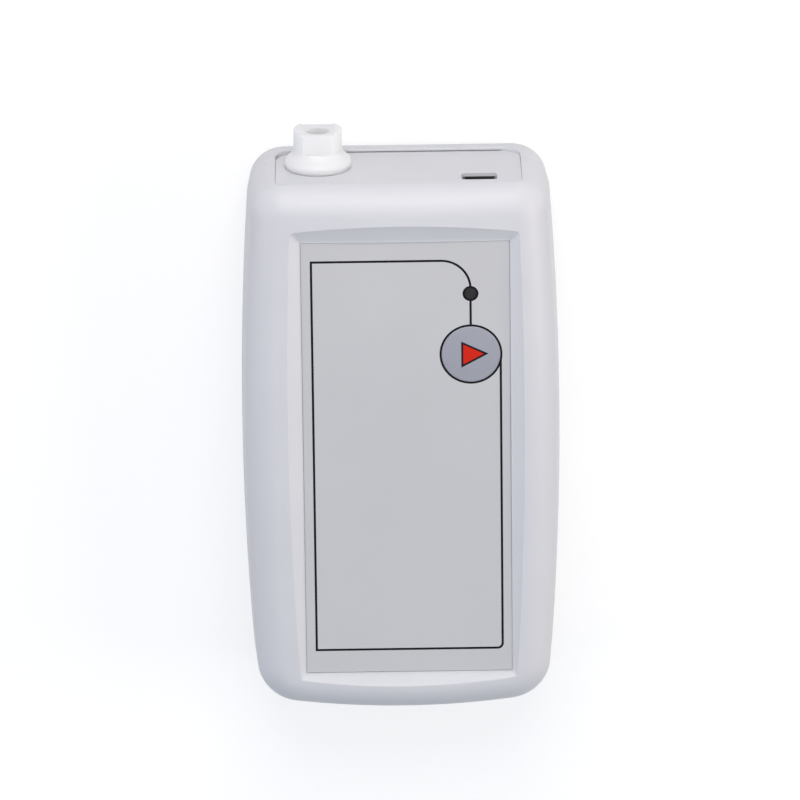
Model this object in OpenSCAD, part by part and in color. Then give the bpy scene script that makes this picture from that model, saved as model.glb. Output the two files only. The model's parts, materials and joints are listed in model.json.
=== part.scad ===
/* [Case] */
// Width of the case across its widest point
case_w = 70; // [69.5:0.1:70.5]
// Length of the case between its two ends
case_l = 124; // [123.5:0.1:124.5]
// Height of the crowned front over the rear face, before the label pocket is cut
crown_top = 33.9; // [33.6:0.1:34.2]
// Height of the parting line between the rear and front covers
parting_z = 11.7; // [11.4:0.1:12]
// Wall thickness of both covers
wall = 2.2; // [2.1:0.05:2.3]
// Radius of the bowed long sides
side_r = 740; // [680:10:820]
// Radius of the bowed lower end
end_r = 228; // [200:4:248]
// Radius of the rounded front edge
front_edge_r = 6.6; // [6.2:0.1:6.9]
// Radius of the rounded rear edge
rear_edge_r = 3; // [2.8:0.1:3.2]

/* [Front face] */
// Width of the front label
label_w = 45.2; // [44.8:0.1:45.4]
// Length of the front label
label_l = 100; // [99:0.5:100.3]
// Height of the pocket floor that the label lies on
pocket_z = 30.5; // [30.3:0.1:30.7]
// Slope of the pocket walls from the floor, in degrees
pocket_slope = 36; // [32:1:42]
// Diameter of the start key
key_d = 12.8; // [12.4:0.1:13]
// How far the start key can be pressed
key_travel = 0.45; // [0.3:0.05:0.5]
// Diameter of the indicator window
window_d = 2.6; // [2.4:0.1:3]

/* [Top end] */
// Width of the panel in the top end
panel_w = 53.4; // [52.4:0.2:53.6]
// Diameter of the flange on the hose port
port_flange_d = 14.6; // [14:0.2:15]
// Diameter of the barrel of the hose port
port_barrel_d = 10.6; // [10:0.2:11]
// Diameter of the bore that the cuff hose plugs into
port_bore_d = 4.8; // [4.6:0.1:5]
// How far the hose port stands out of the panel
port_reach = 8.8; // [8.4:0.1:9]

/* [Batteries] */
// Diameter of one cell
cell_d = 14.2; // [14:0.1:14.3]
// Length of one cell over its terminal
cell_l = 50.5; // [50:0.1:50.5]
// How far the door slides before it can be lifted away
door_travel = 8; // [7:0.5:8]

/* [Air system] */
// Outer diameter of the pump motor
motor_d = 20.4; // [20:0.1:20.6]
// Outer diameter of the air tubes
tube_d = 4.6; // [4.2:0.1:4.8]
// Bore of the air tubes
tube_bore = 3.2; // [3.1:0.05:3.3]

/* [Hidden] */
$fn = 64;

// Plan outline of the case: bowed sides, a straight top end, a bowed lower end and four round corners
top_y = case_l / 2;
top_corner_r = 8;
low_corner_r = 10.2;
side_c = [case_w / 2 - side_r, 0.5];
end_c = [0, end_r - top_y];
top_corner_y = top_y - top_corner_r;
top_corner_reach = sqrt(pow(side_r - top_corner_r, 2) - pow(top_corner_y - side_c.y, 2));
top_corner_c = [side_c.x + top_corner_reach, top_corner_y];
low_corner_c = circle_cross(side_c, side_r - low_corner_r, end_c, end_r - low_corner_r);
top_angle = angle_of(top_corner_c - side_c);
low_angle = angle_of(low_corner_c - side_c);
end_angle = angle_of(low_corner_c - end_c);

// Drafts and crown of the moulded form
rear_draft = 0.5;
front_draft = 0.8;
crown_x = 2.1;
crown_y = 1.65;
crown_mid_y = 8;
inner_top = 28.3;
inner_edge_r = front_edge_r - wall;
seam_in = 1.15;
seam_h = 0.8;
front_cap = front_draft + front_edge_r;

// Front face layout
label_t = 0.3;
label_x = 1.15;
label_y = -1.4;
label_top = label_y + label_l / 2;
label_ledge = 0.35;
pocket_x = label_x - 0.23;
pocket_w = label_w + 0.7;
pocket_run = 1 / tan(pocket_slope);
key_x = label_x + 14.12;
key_y = label_top - 25.9;
window_y = label_top - 11.95;
key_gap = 0.1;
key_top = 31;
cap_z = 29.95;
recess_z = cap_z - key_travel - 0.15;
stem_d = 3.9;
switch_top = 26.3;
plunger_out = 0.9;

// Top end layout
panel_face = top_y - 1;
panel_back = top_y - 3.6;
panel_z = 5.9;
panel_h = 21.6;
panel_low_r = 4.2;
panel_high_r = 1.8;
panel_gap = 0.1;
port_x = -17.4;
port_z = 15.4;
spigot_d = 8;
flange_r = port_flange_d / 2;
barrel_r = port_barrel_d / 2;
bore_r = port_bore_d / 2;
port_flat = 4.25;
port_flat_low = 3.9;
ear_h = 0.5;
ear_gap = 6.8;
port_floor = port_reach - ear_h;
nut_af = 12;
usb_x = 17.5;
usb_z = 23.4;
usb_w = 7.3;
usb_h = 3.9;
usb_gap = 0.2;

// Circuit board
board_t = 1.6;
board_top = usb_z - usb_h / 2;
board_z = board_top - board_t;
board_spots = [[-26.5, -44], [26.5, -44], [0.8, 54.5], [20.5, 3]];
case_spots = [[-26.5, 5.5], [26.5, 5.5], [-26.5, 52], [26.5, 52]];

// Battery bay
cell_pitch = cell_d + 0.2;
cell_z = 3.4 + cell_d / 2;
bay_low = -54.9;
bay_high = 0.4;
bay_w = 57.8;
bay_wall = 1.2;
bay_top = 18.8;
contact_t = 0.4;
nub_l = 1.5;
spring_l = bay_high - bay_low - 2 * contact_t - cell_l;

// Battery door
door_w = 53.7;
door_high = -6;
door_z = 0.15;
door_top = 2.1;
door_gap = 0.15;
tab_reach = 1.4;
tab_l = 6;
tab_z = 1.15;
tab_spots = [-14, -38];
rail_z = 3;

// Pump and valve
pump_x = -14.5;
pump_z = 14;
motor_low = 9;
motor_high = 31;
head_high = 39.5;
film_high = 41;
cover_high = 44.4;
pump_d = 22;
sleeve_d = pump_d + 0.6;
shaft_d = 2;
pump_out = [5, -5];
valve_x = 18;
valve_z = 10;
valve_low = 26;
plunger_d = 4;
plunger_travel = 0.8;
nipple_d = 2.8;
manifold = [-1, 47.5, 5];
manifold_size = [10, 8, 13.5];

// Routes of the air tubes, from fitting to fitting
port_route = [
    [port_x, 54, port_z], [port_x, 49.8, port_z], [-16.4, 47.7, 14.9], [-13.6, 47.2, 14.8], [-10.6, 48.6, 14.7],
    [-8, 50.4, 14.6], [-5.6, 51.5, 14.5], [-1.4, 51.5, 14.5]
];
pump_route = [
    [pump_x + 5, 44.9, 9], [pump_x + 5, 48.2, 9], [-8.6, 50.4, 8.5], [-6.6, 51.4, 8], [-4.4, 51.5, 8],
    [-1.4, 51.5, 8]
];
valve_route = [
    [9.4, 51.5, 8], [13.4, 51.5, 8], [16, 51, 8.4], [17.6, 49.6, 9.2], [18, 47.6, 10], [18, 44.6, 10]
];
sensor_route = [[5, 47.1, 16], [5, 42.9, 16], [5, 38.5, 16]];

// Plan geometry
function angle_of(v) = atan2(v.y, v.x);
function circle_cross(c0, r0, c1, r1) =
    let (v = c1 - c0, d = norm(v), a = (r0 * r0 - r1 * r1 + d * d) / (2 * d), h = sqrt(r0 * r0 - a * a))
    c0 + a * v / d + h * [v.y, -v.x] / d;
function arc(c, r, from, to, steps) =
    [for (i = [1:steps]) let (a = from + (to - from) * i / steps) c + r * [cos(a), sin(a)]];
function half_outline(inset) = concat(
    [for (i = [0:4]) [top_corner_c.x * i / 4, top_y - inset]],
    arc(top_corner_c, top_corner_r - inset, 90, top_angle, 7),
    arc(side_c, side_r - inset, top_angle, low_angle, 9),
    arc(low_corner_c, low_corner_r - inset, low_angle, end_angle, 7),
    arc(end_c, end_r - inset, end_angle, -90, 5));
function outline(inset) =
    let (half = half_outline(inset), n = len(half))
    concat(half, [for (i = [n - 2:-1:1]) [-half[i].x, half[i].y]]);

// Crown: the front falls away from its middle, and the fall fades out down to the parting line
function crown(p) = crown_x * pow(2 * p.x / case_w, 2) + crown_y * pow((p.y - crown_mid_y) / top_y, 2);
function crowned(p, z) = z - crown(p) * max(0, (z - parting_z) / (crown_top - parting_z));
function flat_ring(inset, z) = [for (p = outline(inset)) [p.x, p.y, z]];
function crown_ring(inset, z, scale = 1) =
    [for (p = outline(inset)) let (q = p * scale) [q.x, q.y, crowned(q, z)]];

// Rings of the four moulded surfaces, each from the parting line to its closing cap
front_outer = concat(
    [crown_ring(0, parting_z)],
    [for (i = [0:7]) let (a = 90 * i / 7)
        crown_ring(front_draft + front_edge_r * (1 - cos(a)), crown_top - front_edge_r * (1 - sin(a)))],
    [for (k = [0.8, 0.5, 0.25]) crown_ring(front_cap, crown_top, k)]);
front_inner = concat(
    [flat_ring(wall, parting_z)],
    [for (i = [0:4]) let (a = 90 * i / 4)
        flat_ring(wall + front_draft + inner_edge_r * (1 - cos(a)), inner_top - inner_edge_r * (1 - sin(a)))]);
rear_outer = concat(
    [flat_ring(0, parting_z)],
    [for (i = [0:4]) let (a = 90 * i / 4)
        flat_ring(rear_draft + rear_edge_r * (1 - cos(a)), rear_edge_r * (1 - sin(a)))]);
rear_inner = [
    flat_ring(wall, parting_z),
    flat_ring(wall + rear_draft, wall + 0.8),
    flat_ring(wall + rear_draft + 0.8, wall)
];

function flip(faces) = [for (f = faces) [f[2], f[1], f[0]]];
function band(a, b, n) =
    [for (i = [0:n - 1]) let (j = (i + 1) % n) each [[a + j, b + i, a + i], [a + j, b + j, b + i]]];
function cap(a, tip, n) = [for (i = [0:n - 1]) [a + (i + 1) % n, tip, a + i]];
function skin(rings, start, tip) =
    let (n = len(rings[0]), last = len(rings) - 1)
    concat(
        [for (k = [0:last - 1]) each band(start + k * n, start + (k + 1) * n, n)],
        cap(start + last * n, tip, n));

// Closed shell between an outer and an inner stack of rings that start on the same plane
module moulded_shell(outer, inner, outer_tip, inner_tip, downward)
{
    n = len(outer[0]);
    tips = n * (len(outer) + len(inner));
    points = concat([for (r = outer) each r], [for (r = inner) each r], [outer_tip, inner_tip]);
    inner_start = n * len(outer);
    faces = concat(
        skin(outer, 0, tips), flip(skin(inner, inner_start, tips + 1)), flip(band(0, inner_start, n)));
    polyhedron(points, downward ? flip(faces) : faces);
}

// Solid of the rear form alone, closed at the parting line
module rear_form()
{
    n = len(rear_outer[0]);
    tips = n * len(rear_outer);
    points = concat([for (r = rear_outer) each r], [[0, 0, 0], [0, 0, parting_z]]);
    polyhedron(points, flip(concat(skin(rear_outer, 0, tips), flip(cap(0, tips + 1, n)))));
}

// Tube swept along a route of points, with an outer and an inner surface
function tangent(route, i) =
    let (a = route[max(i - 1, 0)], b = route[min(i + 1, len(route) - 1)]) (b - a) / norm(b - a);
function across(t) = let (s = cross(t, abs(t.z) < 0.8 ? [0, 0, 1] : [1, 0, 0])) s / norm(s);
function tube_ring(route, i, r, sides) =
    let (t = tangent(route, i), u = across(t), v = cross(t, u))
    [for (k = [0:sides - 1]) let (a = 360 * (k + 0.5) / sides) route[i] + r * (u * cos(a) + v * sin(a))];
module swept_tube(route, outer_r, inner_r, sides = 10)
{
    n = len(route);
    outer = [for (i = [0:n - 1]) each tube_ring(route, i, outer_r, sides)];
    inner = [for (i = [0:n - 1]) each tube_ring(route, i, inner_r, sides)];
    start = n * sides;
    faces = concat(
        [for (i = [0:n - 2]) each band(i * sides, (i + 1) * sides, sides)],
        flip([for (i = [0:n - 2]) each band(start + i * sides, start + (i + 1) * sides, sides)]),
        flip(band(0, start, sides)),
        band((n - 1) * sides, start + (n - 1) * sides, sides));
    polyhedron(concat(outer, inner), flip(faces));
}
module swept_wire(route, r, sides = 6)
{
    n = len(route);
    rings = [for (i = [0:n - 1]) each tube_ring(route, i, r, sides)];
    faces = concat(
        [for (i = [0:n - 2]) each band(i * sides, (i + 1) * sides, sides)],
        flip(cap(0, n * sides, sides)),
        cap((n - 1) * sides, n * sides + 1, sides));
    polyhedron(concat(rings, [route[0], route[n - 1]]), flip(faces));
}

// Flat outlines
module rounded_plate(w, h, r_low, r_high)
{
    translate([-w / 2, r_low])
        square([w, h - r_low - r_high]);
    translate([-w / 2 + r_low, 0])
        square([w - 2 * r_low, h]);
    translate([-w / 2 + r_high, h - 2 * r_high])
        square([w - 2 * r_high, 2 * r_high]);
    for (side = [-1, 1])
    {
        translate([side * (w / 2 - r_low), r_low])
            circle(r_low);
        translate([side * (w / 2 - r_high), h - r_high])
            circle(r_high);
    }
}
module bay_plan(inset, w, low, high)
{
    intersection()
    {
        polygon(outline(inset));
        translate([-w / 2, low])
            square([w, high - low]);
    }
}

// Turned pieces lie along Y: the profile's first number is the radius and its second is the height along Y
module turned_y(at, profile)
{
    translate(at)
        rotate([-90, 0, 0])
            rotate_extrude()
                polygon(profile);
}
module rod_y(at, length, d)
{
    translate(at)
        rotate([-90, 0, 0])
            cylinder(d = d, h = length);
}
module at_spots(spots, z)
{
    for (p = spots)
        translate([p.x, p.y, z])
            children();
}

// Moulded covers
module label_pocket()
{
    depth = crown_top - pocket_z + 1;
    half = [pocket_w / 2, label_l / 2 + label_ledge];
    wide = half + [depth * pocket_run, depth * pocket_run];
    corners = [[-1, -1], [1, -1], [1, 1], [-1, 1]];
    points = concat(
        [for (c = corners) [pocket_x + c.x * half.x, label_y + c.y * half.y, pocket_z]],
        [for (c = corners) [pocket_x + c.x * wide.x, label_y + c.y * wide.y, pocket_z + depth]]);
    polyhedron(points, [[0, 1, 2, 3], [7, 6, 5, 4], [4, 5, 1, 0], [5, 6, 2, 1], [6, 7, 3, 2], [7, 4, 0, 3]]);
}
module panel_window(gap)
{
    translate([0, top_y + 10, panel_z - gap])
        rotate([90, 0, 0])
            linear_extrude(15)
                rounded_plate(panel_w + 2 * gap, panel_h + 2 * gap, panel_low_r + gap, panel_high_r + gap);
}
module front_cover()
{
    color("gainsboro")
        difference()
        {
            union()
            {
                moulded_shell(
                    front_outer, front_inner, [0, 0, crowned([0, 0], crown_top)], [0, 0, inner_top], false);
                at_spots(case_spots, parting_z)
                    cylinder(d = 6, h = inner_top - parting_z + 1);
                at_spots(board_spots, board_top)
                    cylinder(d = 4.5, h = inner_top - board_top + 1);
                translate([key_x, key_y, inner_top - 1.4])
                    cylinder(d = stem_d + 3, h = 2);
            }
            label_pocket();
            panel_window(panel_gap);
            seam_ring(seam_in - 0.1, wall + 0.2, parting_z - 1, seam_h + 1.15);
            translate([key_x, key_y, recess_z])
                cylinder(d = key_d + 3 * key_gap, h = 5);
            translate([key_x, key_y, parting_z])
                cylinder(d = stem_d + 2 * key_gap, h = 20);
            translate([key_x, window_y, parting_z])
                cylinder(d = window_d + 0.06, h = 20);
            at_spots(case_spots, parting_z - 1)
                cylinder(d = 2.42, h = 11);
            at_spots(board_spots, board_top - 1)
                cylinder(d = 1.92, h = 5.5);
        }
}
// Stepped seam: the rear cover's lip stands up inside a rebate in the front cover
module seam_ring(outer_inset, inner_inset, z, h)
{
    translate([0, 0, z])
        linear_extrude(h)
            difference()
            {
                polygon(outline(outer_inset));
                polygon(outline(inner_inset));
            }
}
module battery_bay()
{
    translate([0, 0, wall - 0.4])
        linear_extrude(parting_z - wall + 0.4)
            bay_plan(2, bay_w + 2 * bay_wall, -top_y, bay_high + 1.4);
    translate([0, 0, parting_z])
        linear_extrude(bay_top - parting_z)
            bay_plan(2.9, bay_w + 2 * bay_wall, -top_y, bay_high + 1.4);
}
module pump_cradle()
{
    for (y = [14, 26])
        translate([pump_x - 11, y, wall - 0.4])
            cube([22, 2, 6]);
}
module door_opening()
{
    translate([-door_w / 2 - door_gap, -top_y - 5, -1])
        cube([door_w + 2 * door_gap, top_y + 5 + door_high + door_gap, door_top + door_gap + 1]);
    for (side = [-1, 1])
        for (y = tab_spots)
        {
            translate([side * door_w / 2, y - door_travel / 2, tab_z + 0.55])
                cube([2 * tab_reach + 0.4, tab_l + door_travel + 0.6, 1.4], center = true);
            translate([side * door_w / 2, y - door_travel, 0.5])
                cube([2 * tab_reach + 0.4, tab_l + 0.6, 3], center = true);
        }
    translate([-door_w / 2 + 4.9, door_high - 1, tab_z - 0.15])
        cube([door_w - 9.8, 2.65, 1.25]);
}
module rear_cover()
{
    color("gainsboro")
        difference()
        {
            union()
            {
                moulded_shell(rear_outer, rear_inner, [0, 0, 0], [0, 0, wall], true);
                seam_ring(seam_in, wall, parting_z - 0.4, seam_h + 0.4);
                battery_bay();
                pump_cradle();
                at_spots(case_spots, wall - 0.4)
                    cylinder(d = 6, h = parting_z - wall + 0.4);
                translate([manifold.x + 1, manifold.y + 1, wall - 0.4])
                    cube([8, 6, manifold.z - wall + 0.4]);
                translate([valve_x - 5, valve_low + 1, wall - 0.4])
                    cube([10, 12, valve_z - 6 - wall + 0.4]);
            }
            translate([0, 0, -1])
                linear_extrude(rail_z + 1.5)
                    bay_plan(4.1, door_w + 2 * door_gap, bay_low, door_high);
            translate([0, 0, rail_z])
                linear_extrude(cell_z + cell_d / 2 + 0.2 - rail_z)
                    bay_plan(4.1, bay_w, bay_low, bay_high);
            door_opening();
            panel_window(panel_gap);
            rod_y([pump_x, motor_low, pump_z], 20, sleeve_d + 0.1);
            at_spots(case_spots, -1)
                cylinder(d = 2.7, h = 20);
            at_spots(case_spots, -1)
                cylinder(d = 4.8, h = 4.2);
        }
}
module end_panel()
{
    color("gainsboro")
        difference()
        {
            union()
            {
                translate([0, panel_face, panel_z])
                    rotate([90, 0, 0])
                        linear_extrude(panel_face - panel_back)
                            rounded_plate(panel_w, panel_h, panel_low_r, panel_high_r);
                for (side = [-1, 1])
                    translate([side * (panel_w / 2 - 1), panel_back - 0.2, panel_z + 11])
                        cube([3, 0.6, 8], center = true);
            }
            rod_y([port_x, panel_back - 2, port_z], 8, spigot_d + 0.2);
            translate([usb_x, panel_face + 1, usb_z - usb_h / 2 - usb_gap])
                rotate([90, 0, 0])
                    linear_extrude(6)
                        rounded_plate(usb_w + 2 * usb_gap, usb_h + 2 * usb_gap, 1, 0.6);
        }
}
module battery_door()
{
    color("gainsboro")
        difference()
        {
            union()
            {
                intersection()
                {
                    rear_form();
                    translate([-door_w / 2, -top_y - 1, door_z])
                        cube([door_w, top_y + 1 + door_high, door_top - door_z]);
                }
                for (side = [-1, 1])
                    for (y = tab_spots)
                        translate([side * (door_w / 2 - 0.5), y, (tab_z + door_top) / 2])
                            cube([2 * tab_reach + 1, tab_l, door_top - tab_z], center = true);
                translate([-door_w / 2 + 5, door_high - 1, tab_z])
                    cube([door_w - 10, 2.4, door_top - tab_z]);
            }
            for (i = [0:5])
                translate([0, -54 + 2.2 * i, door_z - 0.7])
                    rotate([0, 90, 0])
                        cylinder(r = 1.2, h = 22, center = true);
        }
}

// Front face pieces
module front_label()
{
    color("silver")
        difference()
        {
            translate([label_x - label_w / 2, label_y - label_l / 2, pocket_z])
                cube([label_w, label_l, label_t]);
            translate([key_x, key_y, pocket_z - 1])
                cylinder(d = key_d + 2 * key_gap, h = 3);
            translate([key_x, window_y, pocket_z - 1])
                cylinder(d = window_d + 0.1, h = 3);
        }
}
module start_key()
{
    color("lightslategray")
        translate([key_x, key_y, 0])
            rotate_extrude()
                polygon([
                    [0, switch_top], [stem_d / 2, switch_top], [stem_d / 2, cap_z], [key_d / 2, cap_z],
                    [key_d / 2, key_top - 0.25], [key_d / 2 - 0.25, key_top], [0, key_top]
                ]);
}
module switch_plunger()
{
    color("dimgray")
        translate([key_x, key_y, switch_top - plunger_out - 0.5])
            cylinder(d = 3.2, h = plunger_out + 0.5);
}
module led_window()
{
    color("dimgray")
        translate([key_x, window_y, 0])
            rotate_extrude()
                polygon([
                    [0, inner_top - 0.7], [2.3, inner_top - 0.7], [2.3, inner_top], [window_d / 2, inner_top],
                    [window_d / 2, pocket_z + label_t - 0.15], [window_d / 2 - 0.15, pocket_z + label_t],
                    [0, pocket_z + label_t]
                ]);
}

// Hose port in the top end
module hose_port()
{
    color("ivory")
        difference()
        {
            turned_y([port_x, panel_face, port_z], [
                [1.1, -11.4], [1.4, -11.4], [1.5, -9.8], [1.25, -9.2], [1.25, -6.2], [spigot_d / 2, -6.2],
                [spigot_d / 2, 0], [4.3, 0], [4.3, 0.5], [6.5, 0.5], [6.5, 0], [flange_r - 0.4, 0],
                [flange_r - 0.1, 0.4], [flange_r, 0.8], [flange_r, 1.4], [flange_r - 0.2, 1.85],
                [flange_r - 0.6, 2.3], [flange_r - 1.2, 2.8], [barrel_r + 0.3, 3.3], [barrel_r, port_flat_low],
                [barrel_r, port_reach - 0.3], [barrel_r - 0.3, port_reach], [bore_r + 0.3, port_reach],
                [bore_r + 0.3, port_floor], [bore_r, port_floor - 0.3], [bore_r, -3.7], [1.1, -4.6]
            ]);
            translate([port_x - ear_gap / 2, panel_face + port_floor, port_z - 8])
                cube([ear_gap, 3, 16]);
            for (side = [-1, 1])
                translate([port_x, panel_face + port_flat_low + 4, port_z + side * (port_flat + 2)])
                    cube([8, 8, 4], center = true);
        }
}
module port_gasket()
{
    color("dimgray")
        turned_y([port_x, panel_face, port_z], [[4.35, 0], [6.45, 0], [6.45, 0.5], [4.35, 0.5]]);
}
module port_nut()
{
    color("silver")
        translate([port_x, panel_back, port_z])
            rotate([90, 30, 0])
                difference()
                {
                    cylinder(d = nut_af / cos(30), h = 2.5, $fn = 6);
                    translate([0, 0, -1])
                        cylinder(d = spigot_d + 0.04, h = 5);
                }
}

// Circuit board and what is soldered to it
module main_board()
{
    color("darkgreen")
        difference()
        {
            union()
            {
                translate([-29.2, -49.5, board_z])
                    cube([58.4, 49, board_t]);
                translate([-2.4, -1, board_z])
                    cube([25.6, 59.3, board_t]);
            }
            at_spots(board_spots, board_z - 1)
                cylinder(d = 2.2, h = 4);
        }
}
module usb_socket()
{
    back = top_y - 10.8;
    depth = 9;
    color("silver")
    {
        difference()
        {
            translate([usb_x, back + depth, usb_z - usb_h / 2])
                rotate([90, 0, 0])
                    linear_extrude(depth)
                        rounded_plate(usb_w, usb_h, 0.8, 0.4);
            translate([usb_x, back + depth + 1, usb_z - usb_h / 2 + 0.35])
                rotate([90, 0, 0])
                    linear_extrude(depth - 1)
                        rounded_plate(usb_w - 0.7, usb_h - 0.7, 0.5, 0.2);
        }
        translate([usb_x - 2.6, back + 1.5, usb_z - 0.5])
            cube([5.2, 6, 0.9]);
    }
}
module start_switch()
{
    color("dimgray")
        difference()
        {
            translate([key_x - 3, key_y - 3, board_top])
                cube([6, 6, switch_top - plunger_out - board_top]);
            translate([key_x, key_y, switch_top - plunger_out - 1.1])
                cylinder(d = 3.4, h = 4);
        }
}
module indicator_led()
{
    color("honeydew")
        translate([key_x, window_y, board_top])
            rotate_extrude()
                polygon(concat(
                    [[0, 0], [1.9, 0], [1.9, 1], [1.5, 1]],
                    [for (a = [0:15:90]) [1.5 * cos(a), 3.4 + 1.5 * sin(a)]]));
}
module chip(at, size, pin_count)
{
    translate([at.x - size.x / 2, at.y - size.y / 2, board_top + 0.2])
        cube(size);
    pitch = size.y / (pin_count + 1);
    for (side = [-1, 1])
        for (i = [1:pin_count])
            translate([at.x + side * size.x / 2, at.y - size.y / 2 + pitch * i, board_top + 0.25])
                cube([1.6, pitch * 0.45, 0.5], center = true);
}
module processor_chip()
{
    color("black")
        chip([4, -18], [12, 12, 1.4], 8);
}
module memory_chip()
{
    color("black")
        chip([-4, -38], [8, 10, 1.2], 6);
}
module clock_cell()
{
    color("silver")
        translate([-17, -22, board_top])
        {
            cylinder(d = 14, h = 0.8);
            translate([0, 0, 0.8])
                cylinder(d = 12.5, h = 2);
        }
}
module beeper()
{
    color("black")
        translate([12, 12, board_z - 4])
            difference()
            {
                cylinder(d = 12, h = 4);
                translate([0, 0, -1])
                    cylinder(d = 2, h = 2);
            }
}
module pressure_sensor()
{
    color("black")
    {
        translate([0, 28, board_z - 6.6])
            cube([10, 8, 6.6]);
        rod_y([5, 36, 16], 5, nipple_d);
    }
}

// Air pump
module pump_screw_spots()
{
    for (a = [0, 120, 240])
        translate([pump_x + 9.4 * cos(a), 0, pump_z + 9.4 * sin(a)])
            children();
}
module pump_screw_bores()
{
    pump_screw_spots()
        rod_y([0, motor_high + 2, 0], 20, 1.64);
}
module pump_motor()
{
    color("silver")
    {
        difference()
        {
            turned_y([pump_x, motor_low, pump_z], [
                [0, 0], [motor_d / 2 - 0.6, 0], [motor_d / 2, 0.6], [motor_d / 2, motor_high - motor_low],
                [3, motor_high - motor_low], [3, motor_high - motor_low + 1.4], [0, motor_high - motor_low + 1.4]
            ]);
            rod_y([pump_x, motor_high - 9, pump_z], 12, shaft_d + 0.06);
        }
        for (side = [-1, 1])
            translate([pump_x + side * 4 - 0.9, motor_low - 2, pump_z - 0.2])
                cube([1.8, 2.5, 0.4]);
    }
}
module pump_sleeve()
{
    color("dimgray")
        turned_y([pump_x, motor_low + 4, pump_z], [
            [motor_d / 2, 0], [sleeve_d / 2, 0], [sleeve_d / 2, 16], [motor_d / 2, 16]
        ]);
}
module pump_rotor()
{
    color("white")
    {
        rod_y([pump_x, motor_high - 8, pump_z], 13, shaft_d);
        rod_y([pump_x + 1, motor_high + 1.8, pump_z], 3.2, 7);
    }
}
module pump_head()
{
    color("white")
        difference()
        {
            rod_y([pump_x, motor_high, pump_z], head_high - motor_high, pump_d);
            rod_y([pump_x, motor_high + 1.5, pump_z], 10, 16);
            rod_y([pump_x, motor_high - 1, pump_z], 5, 6.1);
            pump_screw_bores();
        }
}
module pump_diaphragm()
{
    color("darkorange")
        difference()
        {
            union()
            {
                rod_y([pump_x, head_high, pump_z], film_high - head_high, pump_d);
                for (a = [30, 150, 270])
                    rod_y([pump_x + 4.4 * cos(a), head_high - 2.2, pump_z + 4.4 * sin(a)], 2.4, 5.6);
            }
            pump_screw_bores();
        }
}
module pump_valve_cover()
{
    color("white")
        difference()
        {
            union()
            {
                rod_y([pump_x, film_high, pump_z], cover_high - film_high, pump_d);
                rod_y(
                    [pump_x + pump_out.x, film_high, pump_z + pump_out.y], cover_high - film_high + 3.4,
                    nipple_d);
            }
            rod_y([pump_x + pump_out.x, film_high + 1.5, pump_z + pump_out.y], 10, 1.4);
            pump_screw_bores();
        }
}
module pump_screws()
{
    color("silver")
        pump_screw_spots()
        {
            rod_y([0, motor_high + 3, 0], cover_high - motor_high - 3, 1.6);
            rod_y([0, cover_high, 0], 0.9, 2.8);
        }
}

// Manifold, tubes and release valve
module air_manifold()
{
    color("white")
    {
        difference()
        {
            translate(manifold)
                cube(manifold_size);
            translate([manifold.x + 1.4, manifold.y + 1.4, manifold.z - 1])
                cube([manifold_size.x - 2.8, manifold_size.y - 2.8, manifold_size.z - 1]);
        }
        for (z = [8, 14.5])
            translate([manifold.x - 4, 51.5, z])
                rotate([0, 90, 0])
                    cylinder(d = nipple_d, h = 4.5);
        translate([manifold.x + manifold_size.x - 0.5, 51.5, 8])
            rotate([0, 90, 0])
                cylinder(d = nipple_d, h = 4.5);
        rod_y([5, manifold.y - 4, 16], 4.5, nipple_d);
    }
}
module air_tube(route)
{
    color("whitesmoke")
        swept_tube(route, tube_d / 2, tube_bore / 2);
}
module port_tube()
{
    air_tube(port_route);
}
module pump_tube()
{
    air_tube(pump_route);
}
module valve_tube()
{
    air_tube(valve_route);
}
module sensor_tube()
{
    air_tube(sensor_route);
}
module valve_frame()
{
    color("silver")
    {
        for (y = [valve_low, valve_low + 13])
            translate([valve_x - 6, y, valve_z - 6])
                difference()
                {
                    cube([12, 1, 12]);
                    translate([6, -1, 6])
                        rotate([-90, 0, 0])
                            cylinder(d = 5.4, h = 3);
                }
        translate([valve_x - 6, valve_low, valve_z + 6])
            cube([12, 14, 1]);
    }
}
module valve_coil()
{
    color("peru")
        difference()
        {
            rod_y([valve_x, valve_low + 1, valve_z], 12, 11);
            rod_y([valve_x, valve_low, valve_z], 15, plunger_d + 0.1);
        }
}
module valve_head()
{
    color("white")
        difference()
        {
            union()
            {
                rod_y([valve_x, valve_low + 14, valve_z], 3, 8);
                rod_y([valve_x, valve_low + 17, valve_z], 3.6, nipple_d);
            }
            rod_y([valve_x, valve_low + 13, valve_z], 1.5, plunger_d + 0.1);
            rod_y([valve_x, valve_low + 13, valve_z], 10, 1.2);
        }
}
module valve_plunger()
{
    color("dimgray")
        rod_y([valve_x, valve_low + 1.2 + plunger_travel, valve_z], 12.4, plunger_d);
}

// Batteries. Cells lie side by side, and every second one is turned round
module aa_cell(index)
{
    turned = index % 2 == 1;
    low = turned ? bay_low + contact_t : bay_low + contact_t + spring_l;
    color("dimgray")
        translate([(index - 1.5) * cell_pitch, turned ? low + cell_l : low, cell_z])
            rotate([turned ? 90 : -90, 0, 0])
                rotate_extrude()
                    polygon([
                        [0, 0], [cell_d / 2 - 0.7, 0], [cell_d / 2, 0.5], [cell_d / 2, cell_l - nub_l - 0.6],
                        [cell_d / 2 - 0.8, cell_l - nub_l], [2.75, cell_l - nub_l], [2.75, cell_l - 0.3],
                        [2.45, cell_l], [0, cell_l]
                    ]);
}
module aa_cell_1()
{
    aa_cell(0);
}
module aa_cell_2()
{
    aa_cell(1);
}
module aa_cell_3()
{
    aa_cell(2);
}
module aa_cell_4()
{
    aa_cell(3);
}

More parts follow.
